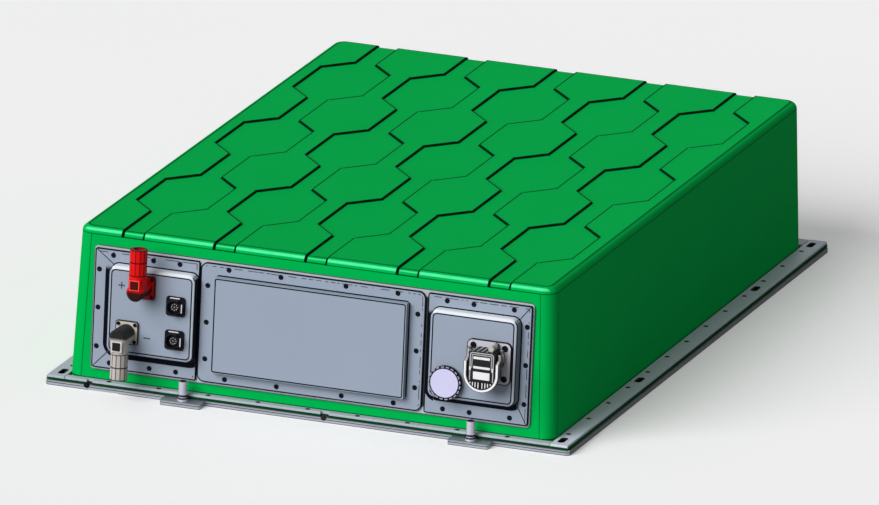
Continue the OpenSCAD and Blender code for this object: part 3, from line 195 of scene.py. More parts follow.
# The floor and the room. The floor is a large matt sheet. The room lights everything evenly,
# and what the camera and polished metal see of both is a pale backdrop.
floor_half, room_light, backdrop_light = 60, 0.20, 0.82
sheet = bmesh.new()
bmesh.ops.create_grid(sheet, x_segments=1, y_segments=1, size=floor_half)
floor = bpy.data.objects.new("floor", bpy.data.meshes.new("floor"))
sheet.to_mesh(floor.data)
sheet.free()
bpy.context.scene.collection.objects.link(floor)
matt_sheet = Finish("matt_sheet", roughness=0.9, specular_ior_level=0.1, emission_strength=1.0)
matt_sheet.set(
    base_color=matt_sheet.mix(matt_sheet.seen(), (0.35, 0.35, 0.35),
                              matt_sheet.mottled((0.86, 0.865, 0.87), (0.90, 0.90, 0.90), 0.9, 2)),
    emission_color=matt_sheet.mix(matt_sheet.seen(), (0, 0, 0), (0.22, 0.22, 0.22)),
)
floor.data.materials.append(matt_sheet.material)
room = bpy.data.worlds.new("room")
bpy.context.scene.world = room
room.use_nodes = True
air = Nodes(room.node_tree)
glow = room.node_tree.nodes["Background"]
glow.inputs["Color"].default_value = (1, 1, 1, 1)
air.tree.links.new(air.seen().step(0, 1, room_light, backdrop_light).socket, glow.inputs["Strength"])

# The tray: two rolled aluminium plates, brazed together, with the coolant lanes pressed between them. Rolling
# leaves fine lines along it, and the brazed joint is a dark line. Painted shade darkens the rims of its slots,
# its outer edges, its lower rim and its sides below the top.
tray_half_w, tray_half_l, joint_z, tray_top = 0.404, 0.564, 0.0045, 0.0075
slot_x, slot_half_l, slot_r = 0.385, 0.0075, 0.0045
slot_rows = ((0.0012, 0.538), (-0.0385, 0.252))


def off_outline(x, v, mid_x, mid_v, half_w, half_h, corner):
    """How far a point is outside a rectangle with round corners. Inside, it is less than 0."""
    over_x, over_v = abs(x - mid_x) - (half_w - corner), abs(v - mid_v) - (half_h - corner)
    return over_x.most(0).far(over_v.most(0)) + over_x.most(over_v).least(0) - corner


def near_slots(finish, reach):
    """Is 1 in the mounting slots and as far as the reach beyond their edges, in metres."""
    x, y, _ = finish.place()
    near = 0.0
    for middle, span in slot_rows:
        off_slot = off_outline(abs(x), abs(y + middle), slot_x, span, slot_r, slot_half_l + slot_r, slot_r)
        near = off_slot.step(reach, reach + 0.0003, 1, 0) + near
    return near


rolled = Finish("rolled_aluminium", metallic=0.9)
x, y, z = rolled.place()
rolling = rolled.noise(9.0, 6.0, (60, 1.2, 60))
# Painted shade darkens the mounting slots and a narrow rim round them.
slot_rim_shade = near_slots(rolled, 0.0016)
# The tray's outer side edges are darkened as painted shade.
outer_edge = abs(x).step(tray_half_w - 0.0010, tray_half_w - 0.0004) * 0.9
lower_rim, upper_rim = z.band(-0.001, 0.0008), z.band(tray_top - 0.0009, tray_top - 0.0001)
at_ends = abs(y).step(tray_half_l - 0.002, tray_half_l - 0.001)
# The brazed joint is a dark line. The lower rim and the top rim at the ends are darkened as painted shade.
joint_and_rim_shade = z.band(joint_z - 0.0005, joint_z + 0.0005).most(lower_rim) * 0.85
joint_and_rim_shade = joint_and_rim_shade.most(upper_rim * 0.5 * at_ends)
plain = rolled.mix(rolled.noise(14.0, 3).step(0.35, 0.7), (0.58, 0.61, 0.69), (0.68, 0.71, 0.80))
# The sides below the top are painted halfway to dark, as painted shade.
plain = rolled.mix(z.step(tray_top - 0.0006, tray_top - 0.0002, 0.5, 0), plain, (0.14, 0.15, 0.17))
rolled.set(
    base_color=rolled.mix(slot_rim_shade.most(outer_edge).most(joint_and_rim_shade).least(0.9), plain, (0.02, 0.026, 0.028)),
    roughness=rolling.step(0.2, 0.8, 0.36, 0.52),
    normal=rolled.bump(0.0001, rolling, 0.35),
)
rolled.on("channel_plate", "cooling_plate")

# The coolant spigots are turned from aluminium bar and anodised a pale grey. Fine turning rings run round
# them, and painted shade darkens them under the bead, round the mouth and in the bore.
spigots_mid_x, spigots_half_x, spigot_y = 0.0345, 0.2215, -0.573
bore_r, bead_z, mouth_z, ring_rate = 0.0049, 0.0165, 0.0362, 9000
turned = Finish("turned_aluminium", metallic=0.35)
x, y, z = turned.place()
off_bore = (abs(x - spigots_mid_x) - spigots_half_x).far(y - spigot_y)
# Painted shade under the bead, in the bore and round the mouth.
bead_and_bore_shade = z.band(bead_z - 0.0029, bead_z + 0.0003) + off_bore.step(bore_r, bore_r + 0.0008, 1, 0)
bead_and_bore_shade = bead_and_bore_shade + z.step(mouth_z - 0.0007, mouth_z) * 0.6
rings = turned.node("Math", {"operation": "SINE"}, {0: z * ring_rate})
turned.set(
    base_color=turned.mix(bead_and_bore_shade.least(1), turned.mottled((0.46, 0.46, 0.56), (0.60, 0.60, 0.70), 60, 3),
                          (0.015, 0.015, 0.025)),
    roughness=turned.noise(25, 2) * 0.2 + 0.35,
    normal=turned.bump(0.00006, rings, 0.3),
)
turned.on("inlet_spigot", "outlet_spigot")

# Rubber: the rings on the spigots and the seals under the cover and the panels.
# It is cut or moulded, with a fine matt grain and a little grey dust.
rubber = Finish("seal_rubber", specular_ior_level=0.25)
rubber.set(
    base_color=rubber.mix(rubber.noise(55, 5).step(0.5, 0.8), (0.012, 0.012, 0.013), (0.035, 0.035, 0.036)),
    roughness=rubber.noise(200, 3) * 0.2 + 0.65,
    normal=rubber.bump(0.00008, rubber.noise(1500, 2), 0.4),
)
rubber.on("port_rings", "perimeter_seal", "panel_seals")

# The cover is drawn in one piece and powder coated green, with a fine orange peel. Painted shade lines run
# along the edges of the recessed channels, up its corners, along its folds and round its flange, and a painted
# highlight lightens the fillet along the front of the top.
pitch, first, straight, slant = 0.1408, -0.4293, 0.118, 0.043
narrow_half, wide_half, channel_end_x = 0.016, 0.0545, 0.340
slant_lean, stroke_extra, line_half, line_soft = 0.34, 0.9, 0.0016, 0.0007
draft, corner_r = math.tan(math.radians(2.1)), 0.0205
flange_top, wall_foot, edge_top, cover_top = 0.0115, 0.015, 0.2304, 0.240
cover_half_w, cover_half_l, cover_mid_y = 0.3735, 0.54115, -0.01015
corner_from_x, corner_from_y = 0.361, 0.529
flat_half_w, flat_half_l, flat_r = 0.3556, 0.5233, 0.011
highlight_z, highlight_y = (0.2352, 0.2374), (-0.5390, -0.5365)
green_coat = Finish("green_powder_coat", specular_ior_level=0.004)
x, y, z = green_coat.place()
# The channels swing from narrow to wide and back, with slanted strokes between, and their edges carry lines of
# painted shade. Measured across the pack, a line is wider on a slant, and every other slanted stroke gets a
# wider line of painted shade.
along, half_turn = y - (first - straight / 2), (straight + slant) / 2
half_width = green_coat.node("MapRange", {}, {
    "Value": along.folded(2 * half_turn), "From Min": straight / 2, "From Max": straight / 2 + slant,
    "To Min": narrow_half, "To Max": wide_half})
swing = (wide_half - narrow_half) / 2
slanted = abs(half_width - (narrow_half + swing)).step(swing - 0.00065, swing - 0.00005, 1, 0)
on_right = (x + pitch / 4).folded(pitch / 2).step(pitch / 4 - 0.001, pitch / 4 + 0.001)
widens = (along + half_turn).folded(2 * half_turn).step(half_turn - 0.001, half_turn + 0.001)
long_slant = on_right * widens + (1 - on_right) * (1 - widens)
lengthened = 1 + (slant_lean + stroke_extra * long_slant) * slanted
off_edge = abs(x.folded(pitch / 2) - half_width) / lengthened
on_top = z.step(cover_top - 0.011, cover_top - 0.010) * abs(x).step(channel_end_x, channel_end_x + 0.001, 1, 0)
# The edges of the channels are darkened as painted shade.
channel_line = off_edge.step(line_half, line_half + line_soft, 1, 0) * on_top
# Thin lines of painted shade run up the corners, below the top's fillet, round its flat and along its foot.
drift, from_middle = (z - wall_foot) * draft, abs(y - cover_mid_y)
corner_x = abs(abs(x) - (cover_half_w - corner_r) + drift)
corner_x = corner_x + from_middle.step(corner_from_y, corner_from_y + 0.001, 1, 0)
corner_y = abs(from_middle - (cover_half_l - corner_r) + drift)
corner_y = corner_y + abs(x).step(corner_from_x, corner_from_x + 0.001, 1, 0)
corner_line = corner_x.least(corner_y).step(0.0004, 0.0010, 1, 0) * z.step(edge_top, edge_top + 0.001, 1, 0)
brow_line = z.band(edge_top - 0.0007, edge_top + 0.0004)
off_flat = off_outline(x, y, 0, cover_mid_y, flat_half_w, flat_half_l, flat_r)
flat_line = off_flat.band(-0.0012, 0.0022) * z.step(cover_top - 0.0030, cover_top - 0.0025)
foot_line = z.band(wall_foot - 0.001, wall_foot + 0.0012)
# The flange, from its top down, and its slots are darkened as painted shade.
flange_shade = z.step(flange_top + 0.0001, flange_top + 0.0007, 1, 0) * 0.9
flange_shade = flange_shade.most(near_slots(green_coat, 0.0004))
# A painted highlight lightens the fillet along the front of the top.
fillet_highlight = z.band(*highlight_z, 0.0012) * y.step(*highlight_y, 1, 0)
green = green_coat.mottled((0.0, 0.425, 0.072), (0.0, 0.465, 0.084), 5, 3)
green = green_coat.mix(fillet_highlight * (0.60 + 0.4 * green_coat.noise(60, 3)), green, (0.10, 0.95, 0.42))
# The painted shade lines of the channels, corners, fillet and flat together.
shade_lines = channel_line.most(corner_line * 0.6).most(brow_line * 0.75).most(flat_line * 0.7)
green = green_coat.mix(shade_lines.most(foot_line * 0.8).most(flange_shade), green, (0.0, 0.022, 0.008))
green_coat.set(
    base_color=green,
    roughness=green_coat.noise(120, 3) * 0.12 + 0.48,
    normal=green_coat.bump(0.00012, green_coat.noise(700, 2), 0.22),
)
green_coat.on("cover")

# The clamp strips are steel with a grey powder coat. The right one's coat is painted paler, as painted light
# that makes up for the cover's shadow on it. Fine scuffs mark them, and painted shade darkens their mounting
# slots. Each is screwed through the cover's flange into the tray.
for name, dark, light, strips in (
    ("pale_strip_coat", (0.42, 0.45, 0.53), (0.49, 0.52, 0.61), ("left_strip", "front_strip", "back_strip")),
    # The right strip's paler coat is painted light against the cover's shadow on it.
    ("strip_coat_brightened_against_shadow", (0.62, 0.66, 0.78), (0.70, 0.74, 0.87), ("right_strip",)),
):
    strip_paint = Finish(name, specular_ior_level=0.25)
    # Painted shade in and round the mounting slots.
    slot_shade = near_slots(strip_paint, 0.0008)
    scuffs = strip_paint.noise(260, 3, (1, 1, 4)).step(0.55, 0.70)
    coat = strip_paint.mix(scuffs * 0.4, strip_paint.mottled(dark, light, 7), (0.68, 0.71, 0.78))
    strip_paint.set(
        base_color=strip_paint.mix(slot_shade, coat, (0.006, 0.010, 0.012)),
        roughness=strip_paint.noise(90, 3) * 0.15 + 0.42,
        normal=strip_paint.bump(0.0001, strip_paint.noise(900, 2), 0.25),
    )
    strip_paint.on(*strips)

# The countersunk screws of the strips, panels and connectors are steel, blackened and oiled,
# with a mottled, half matt surface.
black_steel = Finish("blackened_steel", metallic=0.1, specular_ior_level=0.06)
black_steel.set(
    base_color=black_steel.mottled((0.002, 0.003, 0.006), (0.012, 0.014, 0.022), 400, 3),
    roughness=black_steel.noise(300, 2) * 0.25 + 0.5,
)
black_steel.on("flange_screws", "panel_screws", "power_screws", "disconnect_screws")

# The front wall: a frame plate of pale zinc-plated steel, glued on the cover, and three panels pressed from
# sheet steel with a blue-grey coat. Painted shade lines run along their edges, in the gaps between the panels
# and along their folds.
lean, wall_y, wall_z = math.radians(2.1), -0.5513, 0.015
panel_face, pan_face, boss_face = 0.0051, 0.0211, 0.0164
panel_mid_v, panel_half_h = 0.1076, 0.0893
frame_half_w, frame_half_h, frame_corner = 0.339, 0.0932, 0.006
gap_x, gap_ends = (0.1722, 0.1772), (0.0800, 0.0840)


def wall_place(finish):
    """A point of the front wall: x across it, v up it and n out of it, in metres."""
    x, y, z = finish.place()
    ahead, up = y - wall_y, z - wall_z
    return x, ahead * math.sin(lean) + up * math.cos(lean), up * math.sin(lean) - ahead * math.cos(lean)


zinc_sheet = Finish("zinc_plated_sheet", metallic=0.1, specular_ior_level=0.2)
x, v, _ = wall_place(zinc_sheet)
off_frame = off_outline(x, v, 0, panel_mid_v, frame_half_w, frame_half_h, frame_corner)
# The frame's outer edge and the gaps between the panels are darkened as painted shade.
frame_edge = off_frame.step(-0.0015, -0.0009)
panel_gap = abs(x).band(*gap_x) * abs(v - panel_mid_v).step(*gap_ends, 1, 0)
zinc_sheet.set(
    base_color=zinc_sheet.mix((frame_edge * 0.85).most(panel_gap * 0.95),
                              zinc_sheet.mottled((0.40, 0.47, 0.51), (0.48, 0.55, 0.59), 40, 5),
                              (0.012, 0.022, 0.024)),
    roughness=zinc_sheet.noise(120, 3) * 0.2 + 0.40,
)
zinc_sheet.on("frame_plate")


def panel_finish(name, panel, form, form_face, fillet, dark_bands, shine):
    """The coat of one panel, with painted shade lines along its outline and its pressed form. Dark bands say
    how near and how far from the form the dark band on the low border lies, and shine is 1 if the form's
    fillets get painted shade and a painted highlight."""
    mid_x, half_w, corner = panel
    form_x, form_v, form_half_w, form_half_h, form_corner = form
    coat = Finish(name, specular_ior_level=0.05)
    x, v, n = wall_place(coat)
    plain = coat.mottled((0.306, 0.362, 0.452), (0.338, 0.397, 0.492), 7)
    plain = coat.mix(coat.noise(2200, 1).step(0.62, 0.72) * 0.35, plain, (0.42, 0.48, 0.58))
    off_panel = off_outline(x, v, mid_x, panel_mid_v, half_w, panel_half_h, corner)
    off_form = off_outline(x, v, form_x, form_v, form_half_w, form_half_h, form_corner)
    # Where the point lies: the sides of the form, the low border, the form's face or the fold between.
    over_x, over_v = x - form_x, v - form_v
    left = over_x.step(-form_half_w + fillet, -form_half_w + fillet + 0.001, 1, 0)
    foot = over_v.step(-form_half_h + fillet, -form_half_h + fillet + 0.001, 1, 0)
    right = over_x.step(form_half_w - fillet - 0.001, form_half_w - fillet)
    brow = over_v.step(form_half_h - fillet - 0.001, form_half_h - fillet)
    low_part = n.step(panel_face + 0.0004, panel_face + 0.0012, 1, 0)
    on_face = n.step(form_face - 0.0004, form_face - 0.0002)
    fold = (1 - low_part) * off_form.step(-fillet, -fillet + 0.0004)
    # Painted shade lines: the outline, a broken line inside it at the top and right, the form's foot and its
    # face's rim.
    top_or_right = (v - panel_mid_v - panel_half_h).most(x - mid_x - half_w).step(-0.0060, -0.0055)
    broken = off_panel.band(-0.0052, -0.0042) * low_part * top_or_right * coat.noise(150, 0).step(0.44, 0.50)
    lines = off_panel.step(-0.0022, -0.0014).most(broken * 0.8)
    lines = lines.most(off_form.band(-0.0004, 0.0016) * low_part)
    lines = lines.most(off_form.band(-fillet - 0.0014, -fillet + 0.0002) * on_face)
    # A dark band lies on the low border along the left side and the foot of the form.
    for side, off_side, far_end, (near, far) in (
        (left, 0, over_v.step(form_half_h - 0.012, form_half_h - 0.004, 1, 0), dark_bands[0]),
        (foot, left, over_x.step(form_half_w - 0.003, form_half_w + 0.003, 1, 0), dark_bands[1]),
    ):
        lines = lines.most(low_part * side * far_end * (1 - off_side) * off_form.band(near, far, 0.0006))
    # Painted shade darkens the left and lower folds and the right wall, and a painted highlight lightens the
    # upper folds and the right fillet.
    folded = fold * shine
    shade = folded * left.most(foot) * off_form.step(-fillet * 0.42, -fillet * 0.30)
    shade = shade.most(folded * right * off_form.band(-fillet * 0.30, -fillet * 0.08) * 0.9)
    shade = shade.most(folded * right * off_form.step(-0.0002, 0.0) * 0.5)
    bright = (brow * shine * 0.9).most(right * off_form.band(-fillet * 0.85, -fillet * 0.45) * 0.4) * fold
    coat.set(
        base_color=coat.mix(lines.most(shade).least(1), coat.mix(bright, plain, (0.80, 0.84, 0.90)),
                            (0.001, 0.002, 0.006)),
        roughness=coat.noise(90, 3) * 0.15 + 0.42,
        normal=coat.bump(0.0001, coat.noise(900, 2), 0.25),
    )
    return coat


pan_v, pan_shape, pan_fillet = 0.112, (0.0675, 0.06575, 0.012), 0.005
panel_finish("left_panel_coat", (-0.25535, 0.08085, 0.003), (-0.242, pan_v, *pan_shape), pan_face, pan_fillet,
             ((0, 0.0098), (0.0022, 0.0102)), 1).on("left_panel")
panel_finish("middle_panel_coat", (0, 0.173, 0.011), (0, panel_mid_v, 0.148, 0.071, 0.004), boss_face, 0.0012,
             ((0, 0.0015), (0, 0.0015)), 0).on("middle_panel")
panel_finish("right_panel_coat", (0.25635, 0.07985, 0.003), (0.2527, pan_v, *pan_shape), pan_face, pan_fillet,
             ((0, 0.0098), (0, 0.0078)), 1).on("right_panel")

# The side panels are folded: a crease runs from each outer corner of the pan to the corner of the panel, and a
# thin dark strip lies along it as painted shade.
panel_n, crease_half_w, crease_t = panel_face * 1000, 0.75, 0.12


def on_wall(x, v, n, turn=0.0):
    """The place of a piece on the front wall: x across, v up and n out of it, in millimetres."""
    foot = Matrix.Translation((0, wall_y, wall_z)) @ Matrix.Rotation(math.pi / 2 - lean, 4, "X")
    at = Matrix.Translation((x / 1000, v / 1000, n / 1000))
    return foot @ at @ Matrix.Rotation(math.radians(turn), 4, "Z")


def piece(name, shape, finish, body="root", place=Matrix.Identity(4), smooth=None):
    """Makes an object of a bmesh drawn in millimetres, puts it in place and hangs it on its body."""
    shape.transform(place @ Matrix.Scale(0.001, 4))
    bmesh.ops.recalc_face_normals(shape, faces=shape.faces)
    made = bpy.data.objects.new(name, bpy.data.meshes.new(name))
    shape.to_mesh(made.data)
    shape.free()
    bpy.context.scene.collection.objects.link(made)
    made.data.materials.append(finish.material)
    if smooth:
        made.data.polygons.foreach_set("use_smooth", [True] * len(made.data.polygons))
        made.data.set_sharp_from_angle(angle=math.radians(smooth))
    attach(made, body)


def oblong(low_x, low_v, high_x, high_v):
    """The corners of a rectangle."""
    return [(low_x, low_v), (high_x, low_v), (high_x, high_v), (low_x, high_v)]


def slab(outline, thickness, bevel=0.0, shape=None):
    """Adds a flat plate with the given outline, its upper rim bevelled, to a new or a given shape."""
    shape = shape or bmesh.new()
    base = shape.faces.new([shape.verts.new((x, y, 0)) for x, y in outline])
    up = bmesh.ops.extrude_face_region(shape, geom=[base])["geom"]
    top = [g for g in up if isinstance(g, bmesh.types.BMVert)]
    bmesh.ops.translate(shape, vec=(0, 0, thickness), verts=top)
    if bevel:
        rim = [e for e in shape.edges if e.verts[0] in top and e.verts[1] in top]
        bmesh.ops.bevel(shape, geom=rim, offset=bevel, offset_type="OFFSET", affect="EDGES", segments=3,
                        profile=0.5, material=-1)
    return shape


crease_shade = Finish("crease_shade", roughness=0.6)
crease_shade.set(base_color=crease_shade.mottled((0.006, 0.009, 0.018), (0.020, 0.025, 0.040), 300, 3))
for name, from_x, from_v, to_x, to_v in (
    ("left_top", -307.0, 175.2, -333.5, 195.0), ("left_bottom", -307.0, 48.8, -333.5, 20.5),
    ("right_top", 317.7, 175.2, 333.5, 195.0), ("right_bottom", 317.7, 48.8, 333.5, 20.5),
):
    run = Vector((to_x - from_x, to_v - from_v))
    crease = slab(oblong(0, -crease_half_w, run.length, crease_half_w), crease_t)
    piece("crease_" + name, crease, crease_shade,
          place=on_wall(from_x, from_v, panel_n, math.degrees(math.atan2(run.y, run.x))))

# Two fittings sit in the front edge of the flange: a blackened earth bolt with its washer, and
# a black rubber plug that closes a tapped hole.
edge_y, fitting_z, bolt_x, hole_x = -0.5638, 7.2, -339, 27
washer_r, washer_t, head_r, head_top = 4.6, 0.8, 3.6, 3.0
rim_r, rim_t, knob_r, knob_top = 4.4, 1.0, 2.4, 1.8


def on_front(x, z):
    """The place of a piece on the front edge of the tray, its axis pointing forwards."""
    return Matrix.Translation((x / 1000, edge_y, z / 1000)) @ Matrix.Rotation(math.pi / 2, 4, "X")


def puck(shape, r, low, high, sides=32):
    """Adds an upright round or many-sided puck, its upper rim bevelled."""
    made = bmesh.ops.create_cone(shape, cap_ends=True, segments=sides, radius1=r, radius2=r, depth=high - low,
                                 matrix=Matrix.Translation((0, 0, (low + high) / 2)))["verts"]
    rim = [e for e in shape.edges if all(v in made and v.co.z > high - 0.001 for v in e.verts)]
    bmesh.ops.bevel(shape, geom=rim, offset=0.35, offset_type="OFFSET", affect="EDGES", segments=2,
                    profile=0.5, material=-1)


earth_bolt = bmesh.new()
puck(earth_bolt, washer_r, 0, washer_t)
puck(earth_bolt, head_r, washer_t, head_top, 6)
piece("earth_bolt", earth_bolt, black_steel, place=on_front(bolt_x, fitting_z), smooth=35)
hole_plug = bmesh.new()
puck(hole_plug, rim_r, 0, rim_t)
puck(hole_plug, knob_r, rim_t, knob_top)
piece("hole_plug", hole_plug, rubber, place=on_front(hole_x, fitting_z), smooth=35)

# The power connectors are moulded in glass-filled nylon: red for plus, warm grey for minus. Moulding leaves a
# fine grain. Painted shade lies between the nut's flats, in its grooves and on the dome's side away from the
# cable.
positive_at, negative_at = (-0.2529, 0.152), (-0.2765, 0.0815)
flange_half, flange_corner, flange_face = 0.0174, 0.004, pan_face + 0.0035
plug_axis, plug_r, nut_foot, nut_groove, nut_end = pan_face + 0.0292, 0.013, 0.0252, 0.0446, 0.0622
flat_angle, button_v, button_half = math.radians(15), 0.012, 0.0057


def mould(finish, colour, gloss):
    """Gives a moulded finish its colour and the fine grain that the mould leaves."""
    return finish.set(
        base_color=colour,
        roughness=finish.noise(160, 3) * 0.2 + gloss,
        normal=finish.bump(0.00008, finish.noise(1800, 2), 0.25),
    )


def moulded(name, dark, light, gloss=0.38, shine=0.25):
    """A moulded finish in one colour that wanders between two shades."""
    made = Finish(name, specular_ior_level=shine)
    return mould(made, made.mottled(dark, light), gloss)


def plug_finish(name, plug_x, plug_v, way, dark, light, deep, rim):
    """The nylon of one swivel plug. Way is 1 where the cable leaves upwards and -1 downwards, deep is the
    colour of the painted shade, and rim that of the frame round the button."""
    made = Finish(name, specular_ior_level=0.12)
    x, v, n = wall_place(made)
    along = (v - plug_v) * way
    around = made.node("Math", {"operation": "ARCTAN2"}, {0: n - plug_axis, 1: x - plug_x})
    flats = (around + 2 * math.pi).folded(flat_angle).step(0.03, 0.09, 1, 0)
    flats = flats * along.step(nut_foot - 0.0002, nut_foot + 0.0004)
    groove = along.band(nut_groove - 0.0008, nut_groove + 0.0008)
    groove = groove.most(along.band(nut_foot - 0.0006, nut_foot + 0.0006))
    groove = groove.most(along.step(nut_end - 0.0004, nut_end + 0.0004))
    # Painted shade on the dome's side away from the cable.
    dome = along.step(-0.001, 0.005, 1, 0) * n.step(flange_face - 0.0005, flange_face + 0.0005)
    block = n.step(plug_axis + plug_r - 0.0005, plug_axis + plug_r + 0.0003)
    off_button = abs(x - plug_x).most(abs(along - button_v)) - button_half
    frame_line = off_button.band(0.0001, 0.0018, 0.0004) * block
    nylon = made.mix(frame_line * 0.85, made.mottled(dark, light), rim)
    return mould(made, made.mix((flats * 0.8).most(groove * 0.92).most(dome * 0.98), nylon, deep), 0.36)


plug_finish("red_nylon", *positive_at, 1, (0.70, 0.002, 0.003), (0.86, 0.004, 0.006), (0.006, 0.0, 0.0),
            (0.95, 0.10, 0.08)).on("positive_plug", "positive_gland_nut")
plug_finish("warm_grey_nylon", *negative_at, -1, (0.46, 0.42, 0.39), (0.60, 0.56, 0.53),
            (0.004, 0.004, 0.004), (0.78, 0.74, 0.70)).on("negative_plug", "negative_gland_nut")
for name, (flange_x, flange_v), dark, light, deep, receptacle in (
    ("red_flange_nylon", positive_at, (0.66, 0.006, 0.008), (0.82, 0.010, 0.012), (0.03, 0.0, 0.0),
     "positive_receptacle"),
    ("cream_flange_nylon", negative_at, (0.50, 0.46, 0.40), (0.62, 0.58, 0.50), (0.01, 0.01, 0.01),
     "negative_receptacle"),
):
    flange = Finish(name, specular_ior_level=0.12)
    x, v, n = wall_place(flange)
    # The flange's outer edge is darkened as painted shade, and what stands above the flange face is the dark
    # body.
    off_flange = off_outline(x, v, flange_x, flange_v, flange_half, flange_half, flange_corner)
    over_flange = n.step(flange_face + 0.0001, flange_face + 0.0005)
    dark_part = off_flange.step(-0.0017, -0.0009).most(over_flange)
    mould(flange, flange.mix(dark_part, flange.mottled(dark, light), deep), 0.4).on(receptacle)
moulded("maroon_button_nylon", (0.05, 0.0, 0.0), (0.10, 0.001, 0.001), shine=0.1).on("positive_button")
moulded("black_button_nylon", (0.006, 0.006, 0.007), (0.014, 0.014, 0.015), shine=0.1).on("negative_button")
moulded("maroon_seal_rubber", (0.05, 0.002, 0.003), (0.10, 0.004, 0.005), 0.6).on("positive_cable_seal")
moulded("black_seal_rubber", (0.008, 0.008, 0.009), (0.02, 0.02, 0.021), 0.6).on("negative_cable_seal")

# The contacts in the connectors are turned or stamped from brass and pressed into the nylon.
# Their silver plating has begun to tarnish.
plated = Finish("silver_plate", metallic=1.0)
plated.set(
    base_color=plated.mix(plated.noise(90, 4).step(0.4, 0.75), (0.75, 0.73, 0.68), (0.58, 0.50, 0.36)),
    roughness=plated.noise(240, 3) * 0.2 + 0.2,
)
plated.on("power_contacts", "positive_socket", "negative_socket", "disconnect_jaws", "disconnect_blades")

# The plus and minus marks beside the power plugs are printed in dark ink, each next to the
# flange of its connector.
arm, half, ink_t, pan_n = 5.2, 0.95, 0.15, pan_face * 1000
plus_at, minus_at = (-288, 150), (-246, 76)
ink = Finish("dark_print", roughness=0.5)
ink.set(base_color=ink.mottled((0.020, 0.026, 0.045), (0.05, 0.06, 0.09), 900, 3))
plus = [(-half, -arm), (half, -arm), (half, -half), (arm, -half), (arm, half), (half, half),
        (half, arm), (-half, arm), (-half, half), (-arm, half), (-arm, -half), (-half, -half)]
piece("plus_mark", slab(plus, ink_t), ink, place=on_wall(*plus_at, pan_n))
piece("minus_mark", slab(oblong(-arm, -half, arm, half), ink_t), ink, place=on_wall(*minus_at, pan_n))

# The signal connectors: black nylon flanges and shells, a black insert with pale pins, a pale
# key bar and latch at two sides, and four small screws through each flange.
signal_places = (("out", -203.2, 129.8), ("in", -203.2, 79.5))
insert_face, flange_t, latch_n, screw_at, screw_h = pan_face + 0.0061, 3, 10.6, 10.8, 1.4
latch_corners, key_corners = (11.8, -6.5, 13.4, 6.5), (-8.5, 11.4, 6.5, 13.2)
signal_black = moulded("signal_black_nylon", (0.004, 0.004, 0.007), (0.012, 0.012, 0.017), 0.5, shine=0.1)
signal_black.on("signal_out_receptacle", "signal_in_receptacle")
pins = Finish("signal_insert", specular_ior_level=0.1)
_, _, n = wall_place(pins)
insert_black = pins.mottled((0.010, 0.010, 0.014), (0.03, 0.03, 0.035), 60, 3)
pins.set(
    base_color=pins.mix(n.step(insert_face, insert_face + 0.0002), insert_black, (0.72, 0.70, 0.66)),
    roughness=pins.noise(160, 3) * 0.2 + 0.4,
)
pins.on("signal_inserts")
pale_nylon = moulded("pale_latch_nylon", (0.60, 0.60, 0.62), (0.76, 0.76, 0.78), 0.4)
for side, signal_x, signal_v in signal_places:
    on_flange = on_wall(signal_x, signal_v, pan_n + flange_t)
    piece("signal_%s_latch" % side, slab(oblong(*latch_corners), 1.2, 0.4), pale_nylon,
          place=on_wall(signal_x, signal_v, pan_n + latch_n))
    piece("signal_%s_key_bar" % side, slab(oblong(*key_corners), 0.7, 0.3), pale_nylon, place=on_flange)
    screws = bmesh.new()
    for sx, sv in ((-1, -1), (-1, 1), (1, -1), (1, 1)):
        bmesh.ops.create_cone(screws, cap_ends=True, segments=20, radius1=2.1, radius2=1.8, depth=screw_h,
                              matrix=Matrix.Translation((sx * screw_at, sv * screw_at, screw_h / 2)))
    piece("signal_%s_screws" % side, screws, black_steel, place=on_flange, smooth=35)

# The service disconnect: a receptacle with a pale flange and a black tower, a black plug with
# a fuse link in it, and a white lever. Three pale plates and two clips sit on the plug.
disc_x, disc_v, bend_v = 279.6, 111.5, -11.15
disc_outline, head_outline = (0, 0, 0.034, 0.03175, 0.0087), (0, -0.00275, 0.020, 0.02475, 0.006)
disc_flange_face, head_face = pan_face + 0.0041, pan_face + 0.0333
post_x, post_v, post_r, post_low = 0.012, 0.0268, 0.0045, pan_face + 0.010
disc_screw_x, disc_screw_v, disc_screw_r = 0.02425, 0.02275, 0.0046
rib_row_x, rib_pitch, rib_half, ribs_from_v = -0.0295, 0.0072, 0.0009, 0.0218
lever_in_r, lever_out_r, lever_low = 0.0230, 0.0257, pan_face + 0.0350


def disconnect_place(finish):
    """A point of the disconnect: x and v from its middle and n out of the wall, in metres."""
    x, v, n = wall_place(finish)
    return x - disc_x / 1000, v - disc_v / 1000, n


def rib_edges(x, v, soft):
    """Is 1 on the edges of the upright ribs at the top, where a painted highlight goes. Soft is how far below
    them it fades.
    """
    ribs = (x - rib_row_x).folded(rib_pitch / 2).step(rib_half, rib_half + 0.0004, 1, 0)
    return ribs * v.step(ribs_from_v - soft, ribs_from_v)


socket_nylon = Finish("disconnect_socket_nylon", specular_ior_level=0.12)
x, v, n = disconnect_place(socket_nylon)
# The flange's outer edge and the rings round its screws are darkened as painted shade.
edge = off_outline(x, v, *disc_outline).step(-0.0017, -0.0009)
over_flange = n.step(disc_flange_face, disc_flange_face + 0.0005)
post = (x - post_x).far(v - post_v).step(post_r, post_r + 0.0003, 1, 0) * n.step(post_low, post_low + 0.001)
off_screw = (abs(x) - disc_screw_x).far(abs(v) - disc_screw_v)
screw_ring = off_screw.step(disc_screw_r, disc_screw_r + 0.0004, 1, 0)
pale = socket_nylon.mottled((0.52, 0.51, 0.57), (0.62, 0.61, 0.68))
shade = socket_nylon.mix(edge.most(over_flange).most(screw_ring), pale, (0.003, 0.003, 0.004))
